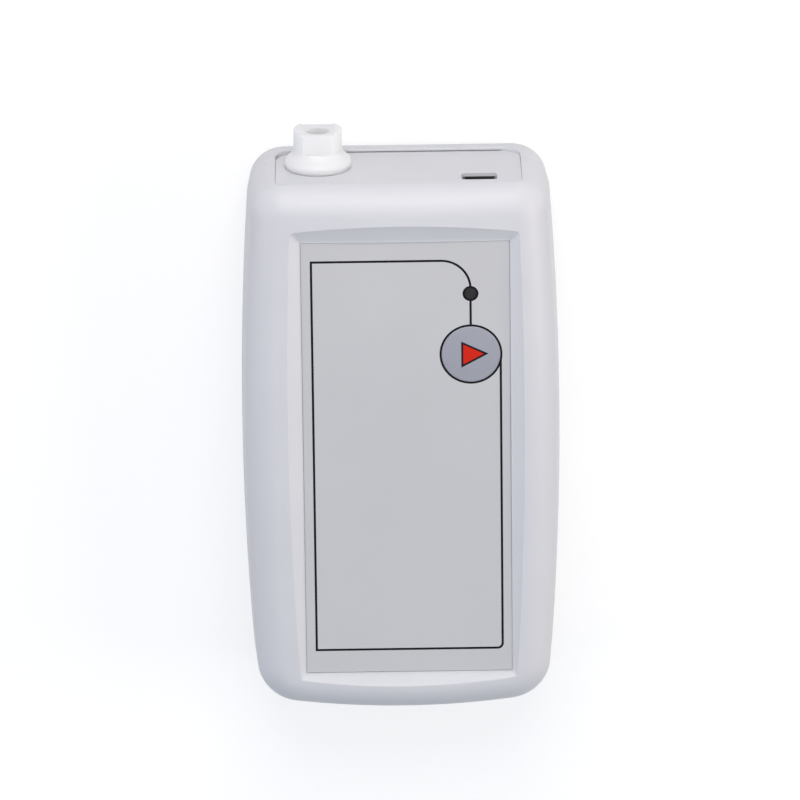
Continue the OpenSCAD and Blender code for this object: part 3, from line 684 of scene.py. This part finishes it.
def buildEndPanel():
    # Each ring steps in from the edge, more at the rear edge than towards the front
    def plate(lowR):
        return roundedPlate(panel["width"], panel["height"], lowR, panel["highR"], low=panel["z"], count=12)
    leftR = panel["leftLowR"]
    sides = zip(plate(panel["lowR"]), plate(leftR))
    shape = [b if b.x < 0 and b.y < panel["z"] + leftR else a for a, b in sides]
    centre = Vector((0, panel["z"] + panel["height"] / 2))

    def ring(share, depth):
        found = []
        for i, p in enumerate(shape):
            size = fadeValue(p.y, panel["roundEnds"], panel["rearRound"], panel["frontRound"])
            along = (shape[(i + 1) % len(shape)] - shape[i - 1]).normalized()
            inward = Vector((-along.y, along.x))
            if inward.dot(centre - p) < 0:
                inward = -inward
            spot = p + inward * size * share
            found.append(Vector((spot.x, panel["face"] - size * depth, spot.y)))
        return found
    rings = [[Vector((p.x, panel["back"], p.y)) for p in shape]] + roundedRings(ring, 0, 1, 1, -1, 5)
    piece = loftPiece("end_plate", rings)
    tools = [prismPiece("slotTool", socketShape(-usb["gap"], 1, 0.6), 50, 70, "Y")]
    holeR = port["spigotR"] + 0.1
    hole = [(0, -10), (holeR, -10), (holeR, 5), (0, 5)]
    tools.append(turnedPiece("holeTool", (port["x"], panel["face"], port["z"]), hole, "Y"))
    carve(piece, tools)
    softenEdges(piece, panel["slotRound"], 2, 60, 40)
    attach(piece, "housing")
    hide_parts("end_panel")
    return piece


def softCurve(points, steps=5):
    # Smooth curve that runs through every point of a profile
    ends = [points[0]] + list(points) + [points[-1]]
    curve = []
    for a, b, c, d in zip(ends, ends[1:], ends[2:], ends[3:]):
        for i in range(steps):
            t = i / steps
            curve.append(tuple(
                0.5 * (2 * q + (r - p) * t + (2 * p - 5 * q + 4 * r - s) * t ** 2
                       + (3 * q - p - 3 * r + s) * t ** 3)
                for p, q, r, s in zip(a, b, c, d)))
    curve.append(tuple(points[-1]))
    return curve


def buildPort():
    reach = port["reach"]
    barrel = port["barrelR"]
    bore = port["boreR"]
    flange = port["flangeR"]
    floor = reach - port["earH"]
    spigot = [
        (1.1, -11.4), (1.4, -11.4), (1.5, -9.8), (1.25, -9.2), (1.25, -6.2), (4, -6.2), (4, 0), (4.3, 0),
        (4.3, 0.5), (6.5, 0.5), (6.5, 0)]
    shoulder = softCurve([
        (6.95, 0), (7.2, 0.35), (flange, 0.85), (flange, 1.35), (7.12, 1.85), (6.7, 2.3), (6.12, 2.8),
        (5.65, 3.3), (5.38, 3.8), (barrel, 4.3)])
    mouth = [
        (barrel, reach - 0.3), (barrel - 0.04, reach - 0.15), (barrel - 0.15, reach - 0.04),
        (barrel - 0.3, reach), (bore + 0.3, reach), (bore + 0.3, floor), (bore + 0.09, floor - 0.09),
        (bore, floor - 0.3), (bore, -3.7), (1.1, -4.6)]
    x = port["x"]
    y = panel["face"]
    z = port["z"]
    piece = turnedPiece("port_body", (x, y, z), spigot + shoulder + mouth, "Y", 128)
    half = port["earGap"] / 2
    past = port["past"]
    tools = [boxPiece("earTool", (x - half, y + floor, z - past), (x + half, y + reach + 3, z + past))]
    for side in (-1, 1):
        near = z + side * port["flat"]
        far = z + side * past
        low = (x - 4, y + port["flatLow"], min(near, far))
        tools.append(boxPiece("flatTool", low, (x + 4, y + 12, max(near, far))))
    carve(piece, tools)
    softenEdges(piece, port["round"], 3, 40, 30)
    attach(piece, "housing")
    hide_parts("hose_port")
    return piece


def buildSocket():
    back = usb["face"] - usb["depth"]
    outside = usb["face"] + 2
    cavity = socketShape(usb["shell"], 0.5, 0.2)
    shell = prismPiece("socket_shell", socketShape(0, 0.8, 0.4), back, usb["face"], "Y")
    carve(shell, [prismPiece("cavityTool", cavity, back + 1, outside, "Y")])
    softenEdges(shell, 0.08, 2, 40, 50)
    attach(shell, "housing")
    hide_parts("usb_socket")
    # The dark liner inside the shell, reaching almost to the face, is painted shade for the deep inside of
    # the socket; the blade is the socket's real tongue
    tongueAndShadeLiner = prismPiece("socket_tongue_and_shade_liner", cavity, back + 1, usb["face"] - usb["shadeLinerIn"], "Y")
    mouth = socketShape(usb["shell"] + usb["shadeLiner"], 0.3, 0.15)
    carve(tongueAndShadeLiner, [prismPiece("mouthTool", mouth, back + 2, outside, "Y")])
    middle = usb["z"] + usb["bladeRise"]
    half = usb["bladeThick"] / 2
    low = (usb["x"] - usb["bladeHalf"], back + 1.5, middle - half)
    high = (usb["x"] + usb["bladeHalf"], usb["face"] - usb["bladeIn"], middle + half)
    blade = boxPiece("bladeTool", low, high)
    carve(tongueAndShadeLiner, [blade], "UNION")
    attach(tongueAndShadeLiner, "housing")
    return shell, tongueAndShadeLiner


endPlate = buildEndPanel()
portBody = buildPort()
socketShell, socketTongueAndShadeLiner = buildSocket()
print("end panel, port and socket modelled")


# Front label with its printed lines, start key and indicator window
label = {
    "x": 1.15, "y": -1.4, "z": 30.5, "width": 45.2, "length": 100, "thick": 0.3, "edge": 0.06,
    "cornerR": 0.25}
ink = {
    "thick": 0.012, "width": 0.5, "left": -20.4, "right": 20.58, "top": 4.35, "low": 5.25, "bend": 6.4,
    "cornerR": 1.1, "sink": 0.01, "ringRise": 0.002, "lineRise": 0.014}
ring = {"keyR": 6.62, "keyWidth": 0.45, "ledR": 1.52, "ledWidth": 0.42}
arrow = {"back": -2.12, "high": 2.98, "low": -3.04, "tip": 3.8, "tipY": 0.15, "line": 0.44, "fillRise": 0.01}


def ribbonPiece(name, path, width, bottom, top, closed=False):
    # Flat printed stroke of even width along a path of points
    count = len(path)
    leftSide = []
    rightSide = []
    for i in range(count):
        before = path[i - 1] if closed or i > 0 else path[i]
        after = path[(i + 1) % count] if closed or i < count - 1 else path[i]
        here = path[i]
        inWay = (here - before).normalized() if (here - before).length > 0 else (after - here).normalized()
        outWay = (after - here).normalized() if (after - here).length > 0 else inWay
        middle = (inWay + outWay).normalized()
        across = Vector((-middle.y, middle.x))
        stretch = 1 / max(0.4, across.dot(Vector((-inWay.y, inWay.x))))
        leftSide.append(here + across * width / 2 * stretch)
        rightSide.append(here - across * width / 2 * stretch)
    points = []
    for a, b in zip(leftSide, rightSide):
        points += [(a.x, a.y, bottom), (a.x, a.y, top), (b.x, b.y, top), (b.x, b.y, bottom)]
    faces = ringFaces(count, 4, closed)
    if not closed:
        faces.append((0, 1, 2, 3))
        faces.append(tuple(4 * (count - 1) + i for i in range(4)))
    return meshPiece(name, points, faces)


def borderPath():
    left = label["x"] + ink["left"]
    right = label["x"] + ink["right"]
    top = label["y"] + label["length"] / 2 - ink["top"]
    low = label["y"] - label["length"] / 2 + ink["low"]
    bend = ink["bend"]
    bendX = key["x"] - bend
    radius = ink["cornerR"]
    path = arcPoints((bendX, top - bend), bend, 0, math.pi / 2, 24)
    path[0] = Vector((key["x"], led["y"] + ring["ledR"]))
    path.append(Vector((left, top)))
    path.append(Vector((left, low)))
    path += arcPoints((right - radius, low + radius), radius, -math.pi / 2, 0, 8)
    path.append(Vector((right, key["y"])))
    return path


def buildLabel():
    low = label["y"] - label["length"] / 2
    corner = label["cornerR"]
    shape = roundedPlate(label["width"], label["length"], corner, corner, label["x"], low, 4)
    piece = prismPiece("label_film", shape, label["z"], label["z"] + label["thick"])
    keyHole = rodTool(keySpot, *through, key["d"] + 0.2, 128)
    carve(piece, [keyHole, rodTool(ledSpot, *through, led["d"] + 0.1)])
    softenEdges(piece, label["edge"], 2, 40, 50)
    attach(piece, "housing")
    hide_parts("front_label")
    return piece


def buildPrint():
    bottom = label["z"] + label["thick"] - ink["sink"]
    top = label["z"] + label["thick"] + ink["thick"]
    strokes = [ribbonPiece("stroke", borderPath(), ink["width"], bottom, top)]
    link = [Vector((key["x"], led["y"] - ring["ledR"])), Vector((key["x"], key["y"] + ring["keyR"]))]
    strokes.append(ribbonPiece("stroke", link, ink["width"], bottom, top))
    rings = ((keySpot, ring["keyR"], ring["keyWidth"]), (ledSpot, ring["ledR"], ring["ledWidth"]))
    for spot, radius, width in rings:
        loop = arcPoints(spot, radius, 0, 2 * math.pi, 128)[:-1]
        strokes.append(ribbonPiece("stroke", loop, width, bottom, top + ink["ringRise"], closed=True))
    piece = joinPieces("label_print", strokes)
    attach(piece, "housing")
    return piece


def buildKey():
    r = key["d"] / 2
    top = key["top"]
    profile = [
        (0, key["stemZ"]), (key["stemD"] / 2 - 0.2, key["stemZ"]), (key["stemD"] / 2, key["stemZ"] + 0.2),
        (key["stemD"] / 2, key["capZ"]), (r - 0.15, key["capZ"]), (r, key["capZ"] + 0.15), (r, top - 0.3),
        (r - 0.03, top - 0.17), (r - 0.1, top - 0.07), (r - 0.2, top - 0.02), (r - 0.35, top), (0, top)]
    piece = turnedPiece("key_cap", (*keySpot, 0), profile, count=128)
    smoothShade(piece, 30)
    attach(piece, "start_button")
    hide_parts("start_key")
    return piece


def arrowCorners(inset):
    tip = (arrow["tip"], arrow["tipY"])
    raw = [Vector(p) for p in ((arrow["back"], arrow["high"]), (arrow["back"], arrow["low"]), tip)]
    middle = sum(raw, Vector((0, 0))) / 3
    inner = []
    for i in range(3):
        a = raw[i] - raw[i - 1]
        b = raw[(i + 1) % 3] - raw[i]
        normalA = Vector((-a.y, a.x)).normalized()
        normalB = Vector((-b.y, b.x)).normalized()
        both = (normalA + normalB).normalized()
        if both.dot(middle - raw[i]) < 0:
            both = -both
        inner.append(raw[i] + both * inset / max(0.2, abs(both.dot(normalA))))
    return [Vector(keySpot) + p for p in inner]


def buildArrow():
    top = key["top"]
    bottom = top - ink["sink"]
    corners = arrowCorners(arrow["line"] / 2)
    fill = prismPiece("arrow_fill", corners, bottom, top + arrow["fillRise"])
    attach(fill, "start_button")
    line = ribbonPiece("arrow_line", corners, arrow["line"], bottom, top + ink["lineRise"], closed=True)
    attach(line, "start_button")
    return fill, line


def buildIndicator():
    r = led["d"] / 2
    top = label["z"] + label["thick"]
    low = innerTop - led["flange"]
    rim = led["rim"]
    profile = [(0, low), (led["flangeR"], low), (led["flangeR"], innerTop), (r, innerTop), (r, top - rim)]
    profile += [(r * math.cos(a), top - rim + rim * math.sin(a)) for a in (0.35, 0.7, 1.05, 1.35)]
    profile.append((0, top))
    piece = turnedPiece("indicator_lens", (*ledSpot, 0), profile, count=64)
    smoothShade(piece, 35)
    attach(piece, "housing")
    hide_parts("led_window")
    return piece


labelFilm = buildLabel()
labelPrint = buildPrint()
keyCap = buildKey()
arrowFill, arrowLine = buildArrow()
indicatorLens = buildIndicator()
print("label, key and indicator modelled")


# Shader groups that several materials share
def shaderGroup(name, inputs, outputs):
    # A tuple makes a colour input and a number a plain one; the output named Color is a colour too
    group = bpy.data.node_groups.new(name, "ShaderNodeTree")
    for title, value in inputs.items():
        kind = "NodeSocketColor" if isinstance(value, tuple) else "NodeSocketFloat"
        socket = group.interface.new_socket(title, in_out="INPUT", socket_type=kind)
        socket.default_value = value
    for title in outputs:
        kind = "NodeSocketColor" if title == "Color" else "NodeSocketFloat"
        group.interface.new_socket(title, in_out="OUTPUT", socket_type=kind)
    return group, group.nodes.new("NodeGroupInput"), group.nodes.new("NodeGroupOutput")


def feed(node, values):
    # Each value goes into the input of that name or number: an output is linked, anything else is set
    for name, value in values.items():
        if isinstance(value, bpy.types.NodeSocket):
            node.id_data.links.new(value, node.inputs[name])
        else:
            node.inputs[name].default_value = value


def addNode(tree, kind, values, **settings):
    node = tree.nodes.new(kind)
    for name, value in settings.items():
        setattr(node, name, value)
    feed(node, values)
    return node


def objectPlace(tree):
    return tree.nodes.new("ShaderNodeTexCoord").outputs["Object"]


def mathNode(tree, operation, first, second):
    return addNode(tree, "ShaderNodeMath", {0: first, 1: second}, operation=operation).outputs[0]


def rangeNode(tree, value, low, high, toLow=0.0, toHigh=1.0):
    values = {"Value": value, "From Min": low, "From Max": high, "To Min": toLow, "To Max": toHigh}
    return addNode(tree, "ShaderNodeMapRange", values).outputs["Result"]


def noiseNode(tree, place, scale, detail, rough):
    values = {"Vector": place, "Scale": scale, "Detail": detail, "Roughness": rough}
    return addNode(tree, "ShaderNodeTexNoise", values).outputs["Fac"]


def mixColors(tree, mask, base, over):
    values = {"Factor": mask, "A": base, "B": over}
    return addNode(tree, "ShaderNodeMix", values, data_type="RGBA").outputs["Result"]


noiseSpan = (0.3, 0.7)  # a noise texture keeps mostly to this range


def makeGrainGroup():
    group, inside, out = shaderGroup("mouldedGrain", {"Scale": 4000}, ("Height", "Tone"))
    place = objectPlace(group)
    scale = inside.outputs["Scale"]
    values = {"Vector": place, "Scale": mathNode(group, "MULTIPLY", scale, 0.6), "Smoothness": 0.6}
    pits = addNode(group, "ShaderNodeTexVoronoi", values, feature="SMOOTH_F1")
    pitted = mathNode(group, "MULTIPLY", pits.outputs["Distance"], 0.5)
    height = mathNode(group, "ADD", noiseNode(group, place, scale, 3.0, 0.6), pitted)
    feed(out, {"Height": height, "Tone": noiseNode(group, place, 45.0, 4.0, 0.55)})
    return group


def makeToneGroup():
    group, inside, out = shaderGroup(
        "toneShift", {"Fac": 0.5, "Light": (1, 1, 1, 1), "Deep": (0, 0, 0, 1)}, ("Color",))
    share = rangeNode(group, inside.outputs["Fac"], *noiseSpan)
    feed(out, {"Color": mixColors(group, share, inside.outputs["Deep"], inside.outputs["Light"])})
    return group


def makeWearGroup():
    group, inside, out = shaderGroup("edgeWear", {"Amount": 0.5, "Scale": 900}, ("Mask",))
    noise = noiseNode(group, objectPlace(group), inside.outputs["Scale"], 5.0, 0.65)
    edge = rangeNode(group, group.nodes.new("ShaderNodeNewGeometry").outputs["Pointiness"], 0.52, 0.62)
    worn = mathNode(group, "MULTIPLY", edge, noise)
    feed(out, {"Mask": mathNode(group, "MULTIPLY", worn, inside.outputs["Amount"])})
    return group


def makeBrushGroup():
    group, inside, out = shaderGroup("brushedLines", {"Scale": 3000}, ("Height", "Tone"))
    place = objectPlace(group)
    stretched = addNode(group, "ShaderNodeMapping", {"Vector": place, "Scale": (1, 0.06, 1)})
    lines = noiseNode(group, stretched.outputs["Vector"], inside.outputs["Scale"], 4.0, 0.7)
    feed(out, {"Height": lines, "Tone": noiseNode(group, place, 220.0, 3.0, 0.5)})
    return group


grainGroup = makeGrainGroup()
toneGroup = makeToneGroup()
wearGroup = makeWearGroup()
brushGroup = makeBrushGroup()


# Materials, one dictionary of values for each finish
finishes = {
    "shell": {
        "light": (0.72, 0.72, 0.745), "deep": (0.69, 0.69, 0.715), "rough": (0.40, 0.50), "grain": 5200,
        "depth": 0.006, "wear": 0.10, "worn": (0.78, 0.78, 0.79)},
    "label": {
        "light": (0.612, 0.612, 0.62), "deep": (0.592, 0.592, 0.60), "rough": (0.46, 0.54), "grain": 9000,
        "depth": 0.002, "wear": 0.05, "worn": (0.62, 0.62, 0.64)},
    "key": {
        "light": (0.365, 0.375, 0.425), "deep": (0.345, 0.355, 0.405), "rough": (0.42, 0.5), "grain": 8000,
        "depth": 0.003, "wear": 0.12, "worn": (0.45, 0.46, 0.50)},
    "arrowRed": {
        "light": (0.70, 0.024, 0.010), "deep": (0.66, 0.02, 0.008), "rough": (0.4, 0.5), "grain": 9000,
        "depth": 0.001, "shine": 0.12},
    "printBlack": {
        "light": (0.009, 0.009, 0.011), "deep": (0.006, 0.006, 0.008), "rough": (0.4, 0.52), "grain": 9000,
        "depth": 0.001, "shine": 0.1},
    "dark_plastic": {
        "light": (0.035, 0.035, 0.038), "deep": (0.02, 0.02, 0.022), "rough": (0.42, 0.6), "grain": 6000,
        "depth": 0.004, "wear": 0.3, "worn": (0.12, 0.12, 0.12)},
    "smoked_window": {
        "light": (0.018, 0.018, 0.018), "deep": (0.012, 0.012, 0.012), "rough": (0.12, 0.2), "grain": 3000,
        "depth": 0.001, "wear": 0.1, "worn": (0.06, 0.06, 0.06), "shine": 0.3},
    "white_nylon": {
        "light": (0.87, 0.87, 0.87), "deep": (0.84, 0.84, 0.84), "rough": (0.34, 0.46), "grain": 5000,
        "depth": 0.004, "wear": 0.1, "worn": (0.88, 0.88, 0.88), "cloudy": 0.9, "cloudDepth": 3.2},
    "black_rubber": {
        "light": (0.03, 0.03, 0.03), "deep": (0.018, 0.018, 0.018), "rough": (0.7, 0.85), "grain": 4000,
        "depth": 0.01, "wear": 0.4, "worn": (0.08, 0.08, 0.08)},
    "orange_silicone": {
        "light": (0.74, 0.24, 0.06), "deep": (0.62, 0.18, 0.04), "rough": (0.5, 0.65), "grain": 3500,
        "depth": 0.006, "wear": 0.1, "worn": (0.8, 0.35, 0.15), "cloudy": 0.2},
    "clear_silicone": {
        "light": (0.78, 0.79, 0.78), "deep": (0.68, 0.69, 0.68), "rough": (0.3, 0.42), "grain": 2500,
        "depth": 0.004, "wear": 0.05, "worn": (0.8, 0.8, 0.8), "cloudy": 0.5},
    "led_resin": {
        "light": (0.80, 0.86, 0.80), "deep": (0.7, 0.78, 0.7), "rough": (0.15, 0.25), "grain": 3000,
        "depth": 0.002, "wear": 0.05, "worn": (0.85, 0.9, 0.85), "cloudy": 0.4},
    "chip_resin": {
        "light": (0.035, 0.035, 0.04), "deep": (0.022, 0.022, 0.026), "rough": (0.5, 0.65), "grain": 7000,
        "depth": 0.006, "wear": 0.2, "worn": (0.1, 0.1, 0.1)},
    "zinc_steel": {
        "light": (0.66, 0.66, 0.67), "deep": (0.52, 0.53, 0.55), "rough": (0.26, 0.42), "brush": 2600,
        "depth": 0.004, "wear": 0.4, "worn": (0.8, 0.8, 0.8)},
    "nickel_steel": {
        "light": (0.72, 0.71, 0.68), "deep": (0.6, 0.59, 0.57), "rough": (0.2, 0.34), "brush": 3200,
        "depth": 0.003, "wear": 0.3, "worn": (0.85, 0.84, 0.8)},
    "shaft_steel": {
        "light": (0.6, 0.6, 0.61), "deep": (0.48, 0.48, 0.5), "rough": (0.18, 0.3), "brush": 5000,
        "depth": 0.002, "wear": 0.3, "worn": (0.7, 0.7, 0.7)},
}


def placeGroup(tree, group, values):
    return addNode(tree, "ShaderNodeGroup", values, node_tree=group)


def newMaterial(name):
    material = bpy.data.materials.new(name)
    material.use_nodes = True
    return material, material.node_tree, material.node_tree.nodes["Principled BSDF"]


def toneColor(tree, share, light, deep):
    values = {"Fac": share, "Light": (*light, 1), "Deep": (*deep, 1)}
    return placeGroup(tree, toneGroup, values).outputs["Color"]


def addRelief(tree, shader, look, tone, height):
    # Roughness that follows the tone between two values, and a bump of a given depth
    values = {"Height": height, "Strength": look.get("bump", 0.6), "Distance": look["depth"] * mm}
    bump = addNode(tree, "ShaderNodeBump", values)
    roughness = rangeNode(tree, tone, *noiseSpan, *look["rough"])
    feed(shader, {"Roughness": roughness, "Normal": bump.outputs["Normal"]})


def surfaceMaterial(name, look):
    material, tree, shader = newMaterial(name)
    metal = "brush" in look
    pattern = brushGroup if metal else grainGroup
    texture = placeGroup(tree, pattern, {"Scale": look["brush" if metal else "grain"]})
    tone = texture.outputs["Tone"]
    color = toneColor(tree, tone, look["light"], look["deep"])
    if "wear" in look:
        worn = placeGroup(tree, wearGroup, {"Amount": look["wear"]}).outputs["Mask"]
        color = mixColors(tree, worn, color, (*look["worn"], 1))
    shine = look.get("shine", 0.5)
    feed(shader, {"Base Color": color, "Metallic": 1 if metal else 0, "Specular IOR Level": shine})
    addRelief(tree, shader, look, tone, texture.outputs["Height"])
    if "cloudy" in look:
        feed(shader, {
            "Subsurface Weight": look["cloudy"],
            "Subsurface Scale": look.get("cloudDepth", 1.2) * mm,
            "Subsurface Radius": (1, 1, 1),
        })
    return material


boardLook = {
    "mask": (0.012, 0.13, 0.05), "maskDeep": 0.85, "trace": (0.02, 0.20, 0.08), "pad": (0.75, 0.6, 0.3),
    "rough": (0.24, 0.4), "pitch": 620, "gap": 0.05, "brick": (2.2, 0.6), "viaScale": 0.6, "viaR": 0.13,
    "viaMetal": 0.8, "grain": 3000, "bump": 0.5, "depth": 0.02}


def boardMaterial(look):
    material, tree, shader = newMaterial("circuit_board")
    place = objectPlace(tree)
    traces = addNode(tree, "ShaderNodeTexBrick", {
        "Vector": place, "Scale": look["pitch"], "Mortar Size": look["gap"],
        "Brick Width": look["brick"][0], "Row Height": look["brick"][1],
        "Color1": (*look["mask"], 1), "Color2": (*(look["maskDeep"] * v for v in look["mask"]), 1),
        "Mortar": (*look["trace"], 1)})
    vias = addNode(tree, "ShaderNodeTexVoronoi", {"Vector": place, "Scale": look["pitch"] * look["viaScale"]})
    spot = mathNode(tree, "LESS_THAN", vias.outputs["Distance"], look["viaR"])
    feed(shader, {
        "Base Color": mixColors(tree, spot, traces.outputs["Color"], (*look["pad"], 1)),
        "Metallic": mathNode(tree, "MULTIPLY", spot, look["viaMetal"]),
    })
    texture = placeGroup(tree, grainGroup, {"Scale": look["grain"]})
    addRelief(tree, shader, look, texture.outputs["Tone"], traces.outputs["Fac"])
    return material


windingLook = {
    "light": (0.62, 0.27, 0.11), "deep": (0.36, 0.12, 0.05), "pitch": 2800, "rough": (0.25, 0.4),
    "warp": 0.3, "grain": 3000, "bump": 0.8, "depth": 0.08}


def windingMaterial(look):
    material, tree, shader = newMaterial("copper_winding")
    values = {"Vector": objectPlace(tree), "Scale": look["pitch"], "Distortion": look["warp"]}
    turns = addNode(tree, "ShaderNodeTexWave", values, wave_type="BANDS", bands_direction="Y").outputs["Fac"]
    feed(shader, {"Base Color": toneColor(tree, turns, look["light"], look["deep"]), "Metallic": 1})
    texture = placeGroup(tree, grainGroup, {"Scale": look["grain"]})
    addRelief(tree, shader, look, texture.outputs["Tone"], turns)
    return material


cellLook = {
    "sleeve": (0.05, 0.06, 0.08), "sleeveDeep": 0.7, "band": (0.62, 0.63, 0.65), "metal": (0.7, 0.69, 0.66),
    "bandShare": 0.2, "bareShares": (0.008, 0.962), "rough": (0.22, 0.34), "grain": 2600,
    "bump": 0.3, "depth": 0.01}


def cellMaterial(name, look, low, high, turned):
    # Plain dark sleeve with a pale band at the positive end, and bare metal past both ends of the sleeve
    material, tree, shader = newMaterial(name)
    split = addNode(tree, "ShaderNodeSeparateXYZ", {"Vector": objectPlace(tree)})
    along = rangeNode(tree, split.outputs["Y"], *((high, low) if turned else (low, high)))
    band = mathNode(tree, "GREATER_THAN", along, 1 - look["bandShare"])
    bareLow, bareHigh = look["bareShares"]
    pastHigh = mathNode(tree, "GREATER_THAN", along, bareHigh)
    bare = mathNode(tree, "ADD", pastHigh, mathNode(tree, "LESS_THAN", along, bareLow))
    texture = placeGroup(tree, grainGroup, {"Scale": look["grain"]})
    tone = texture.outputs["Tone"]
    sleeve = toneColor(tree, tone, look["sleeve"], [look["sleeveDeep"] * v for v in look["sleeve"]])
    painted = mixColors(tree, band, sleeve, (*look["band"], 1))
    feed(shader, {"Base Color": mixColors(tree, bare, painted, (*look["metal"], 1)), "Metallic": bare})
    addRelief(tree, shader, look, tone, texture.outputs["Height"])
    return material


materials = {name: surfaceMaterial(name, look) for name, look in finishes.items()}
materials["circuit_board"] = boardMaterial(boardLook)
materials["copper_winding"] = windingMaterial(windingLook)


def dress(piece, material):
    piece.data.materials.clear()
    piece.data.materials.append(material)


def dressNodes():
    for part in frame["record"]["subparts"]:
        node = part["node"]
        piece = frame["nodes"][node]
        if part["material_slot"] == "cell_wrap":
            low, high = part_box(node)
            turned = int(node[-1]) % 2 == 0
            dress(piece, cellMaterial(node + "_wrap", cellLook, low.y, high.y, turned))
        else:
            dress(piece, materials[part["material_slot"]])


dressNodes()
for piece, name in (
        (frontShell, "shell"), (rearShell, "shell"), (doorPlate, "shell"), (endPlate, "shell"),
        (labelFilm, "label"), (labelPrint, "printBlack"), (keyCap, "key"), (arrowFill, "arrowRed"),
        (arrowLine, "printBlack"), (indicatorLens, "smoked_window"), (portBody, "white_nylon"),
        # The socket's dark liner in dark plastic is painted shade for the deep inside of the socket
        (socketShell, "nickel_steel"), (socketTongueAndShadeLiner, "dark_plastic")):
    dress(piece, materials[name])
print("materials assigned")


# Floor, lamps and background
stageLook = {"size": 3, "z": -0.02, "albedo": 0.5, "vary": 0.004, "glow": 0.6, "rough": 0.9}
lampLooks = {
    "topLamp": {"at": (0, 0.75, 0.66), "size": 0.6, "power": 3.6, "color": (1, 0.87, 0.82)},
    "endLamp": {"at": (0, 0.36, 0.18), "size": 0.2, "power": 0.14, "color": (1, 0.92, 0.75)},
    "rightLamp": {"at": (0.9, 0, 0.5), "size": 0.5, "power": 3.6, "color": (1, 0.83, 0.7)},
    "leftLamp": {"at": (-0.9, 0, 0.5), "size": 0.5, "power": 1.7, "color": (1, 0.82, 0.8)},
}
# Cool light from all round that grows towards the port's end
ambient = {"near": 0.42, "far": 0.86, "color": (0.62, 0.745, 0.87)}


def seenMix(tree, lighting, seen):
    # One source lights the object, the other is what the camera sees, also in a mirror or through glass
    path = tree.nodes.new("ShaderNodeLightPath")
    rays = mathNode(tree, "MAXIMUM", path.outputs["Is Camera Ray"], path.outputs["Is Glossy Ray"])
    rays = mathNode(tree, "MAXIMUM", rays, path.outputs["Is Transmission Ray"])
    values = {0: rays, 1: lighting.outputs[0], 2: seen.outputs[0]}
    return addNode(tree, "ShaderNodeMixShader", values).outputs[0]


def addFloor(look):
    reach = look["size"] / 2 / mm
    corners = [(x * reach, y * reach, look["z"]) for x, y in ((-1, -1), (1, -1), (1, 1), (-1, 1))]
    piece = meshPiece("floor", corners, [(0, 1, 2, 3)])
    material, tree, shader = newMaterial("floor")
    noise = addNode(tree, "ShaderNodeTexNoise", {"Scale": 6.0, "Detail": 2.0})
    albedo = look["albedo"]
    tone = toneColor(tree, noise.outputs["Fac"], (albedo,) * 3, (albedo - look["vary"],) * 3)
    feed(shader, {"Base Color": tone, "Roughness": look["rough"], "Specular IOR Level": 0})
    none = addNode(tree, "ShaderNodeEmission", {"Strength": 0})
    glow = addNode(tree, "ShaderNodeEmission", {"Strength": look["glow"]})
    total = addNode(tree, "ShaderNodeAddShader", {0: shader.outputs[0], 1: seenMix(tree, none, glow)})
    feed(tree.nodes["Material Output"], {"Surface": total.outputs[0]})
    dress(piece, material)


def addLamp(name, look):
    data = bpy.data.lights.new(name, "AREA")
    data.shape = "SQUARE"
    data.size = look["size"]
    data.energy = look["power"]
    data.color = look["color"]
    lamp = bpy.data.objects.new(name, data)
    place = Vector(look["at"])
    lamp.matrix_world = Matrix.Translation(place) @ place.to_track_quat("Z", "Y").to_matrix().to_4x4()
    scene.collection.objects.link(lamp)


def setWorld(look):
    world = bpy.data.worlds.new("studio")
    scene.world = world
    world.use_nodes = True
    tree = world.node_tree
    fill = tree.nodes["Background"]
    place = tree.nodes.new("ShaderNodeTexCoord")
    split = addNode(tree, "ShaderNodeSeparateXYZ", {"Vector": place.outputs["Generated"]})
    strength = rangeNode(tree, split.outputs["Y"], -1.0, 1.0, look["near"], look["far"])
    feed(fill, {"Color": (*look["color"], 1), "Strength": strength})
    plain = addNode(tree, "ShaderNodeBackground", {"Color": (1, 1, 1, 1), "Strength": 1})
    feed(tree.nodes["World Output"], {"Surface": seenMix(tree, fill, plain)})


addFloor(stageLook)
for name, look in lampLooks.items():
    addLamp(name, look)
setWorld(ambient)
scene.view_settings.view_transform = "Standard"
print("stage and lamps placed")
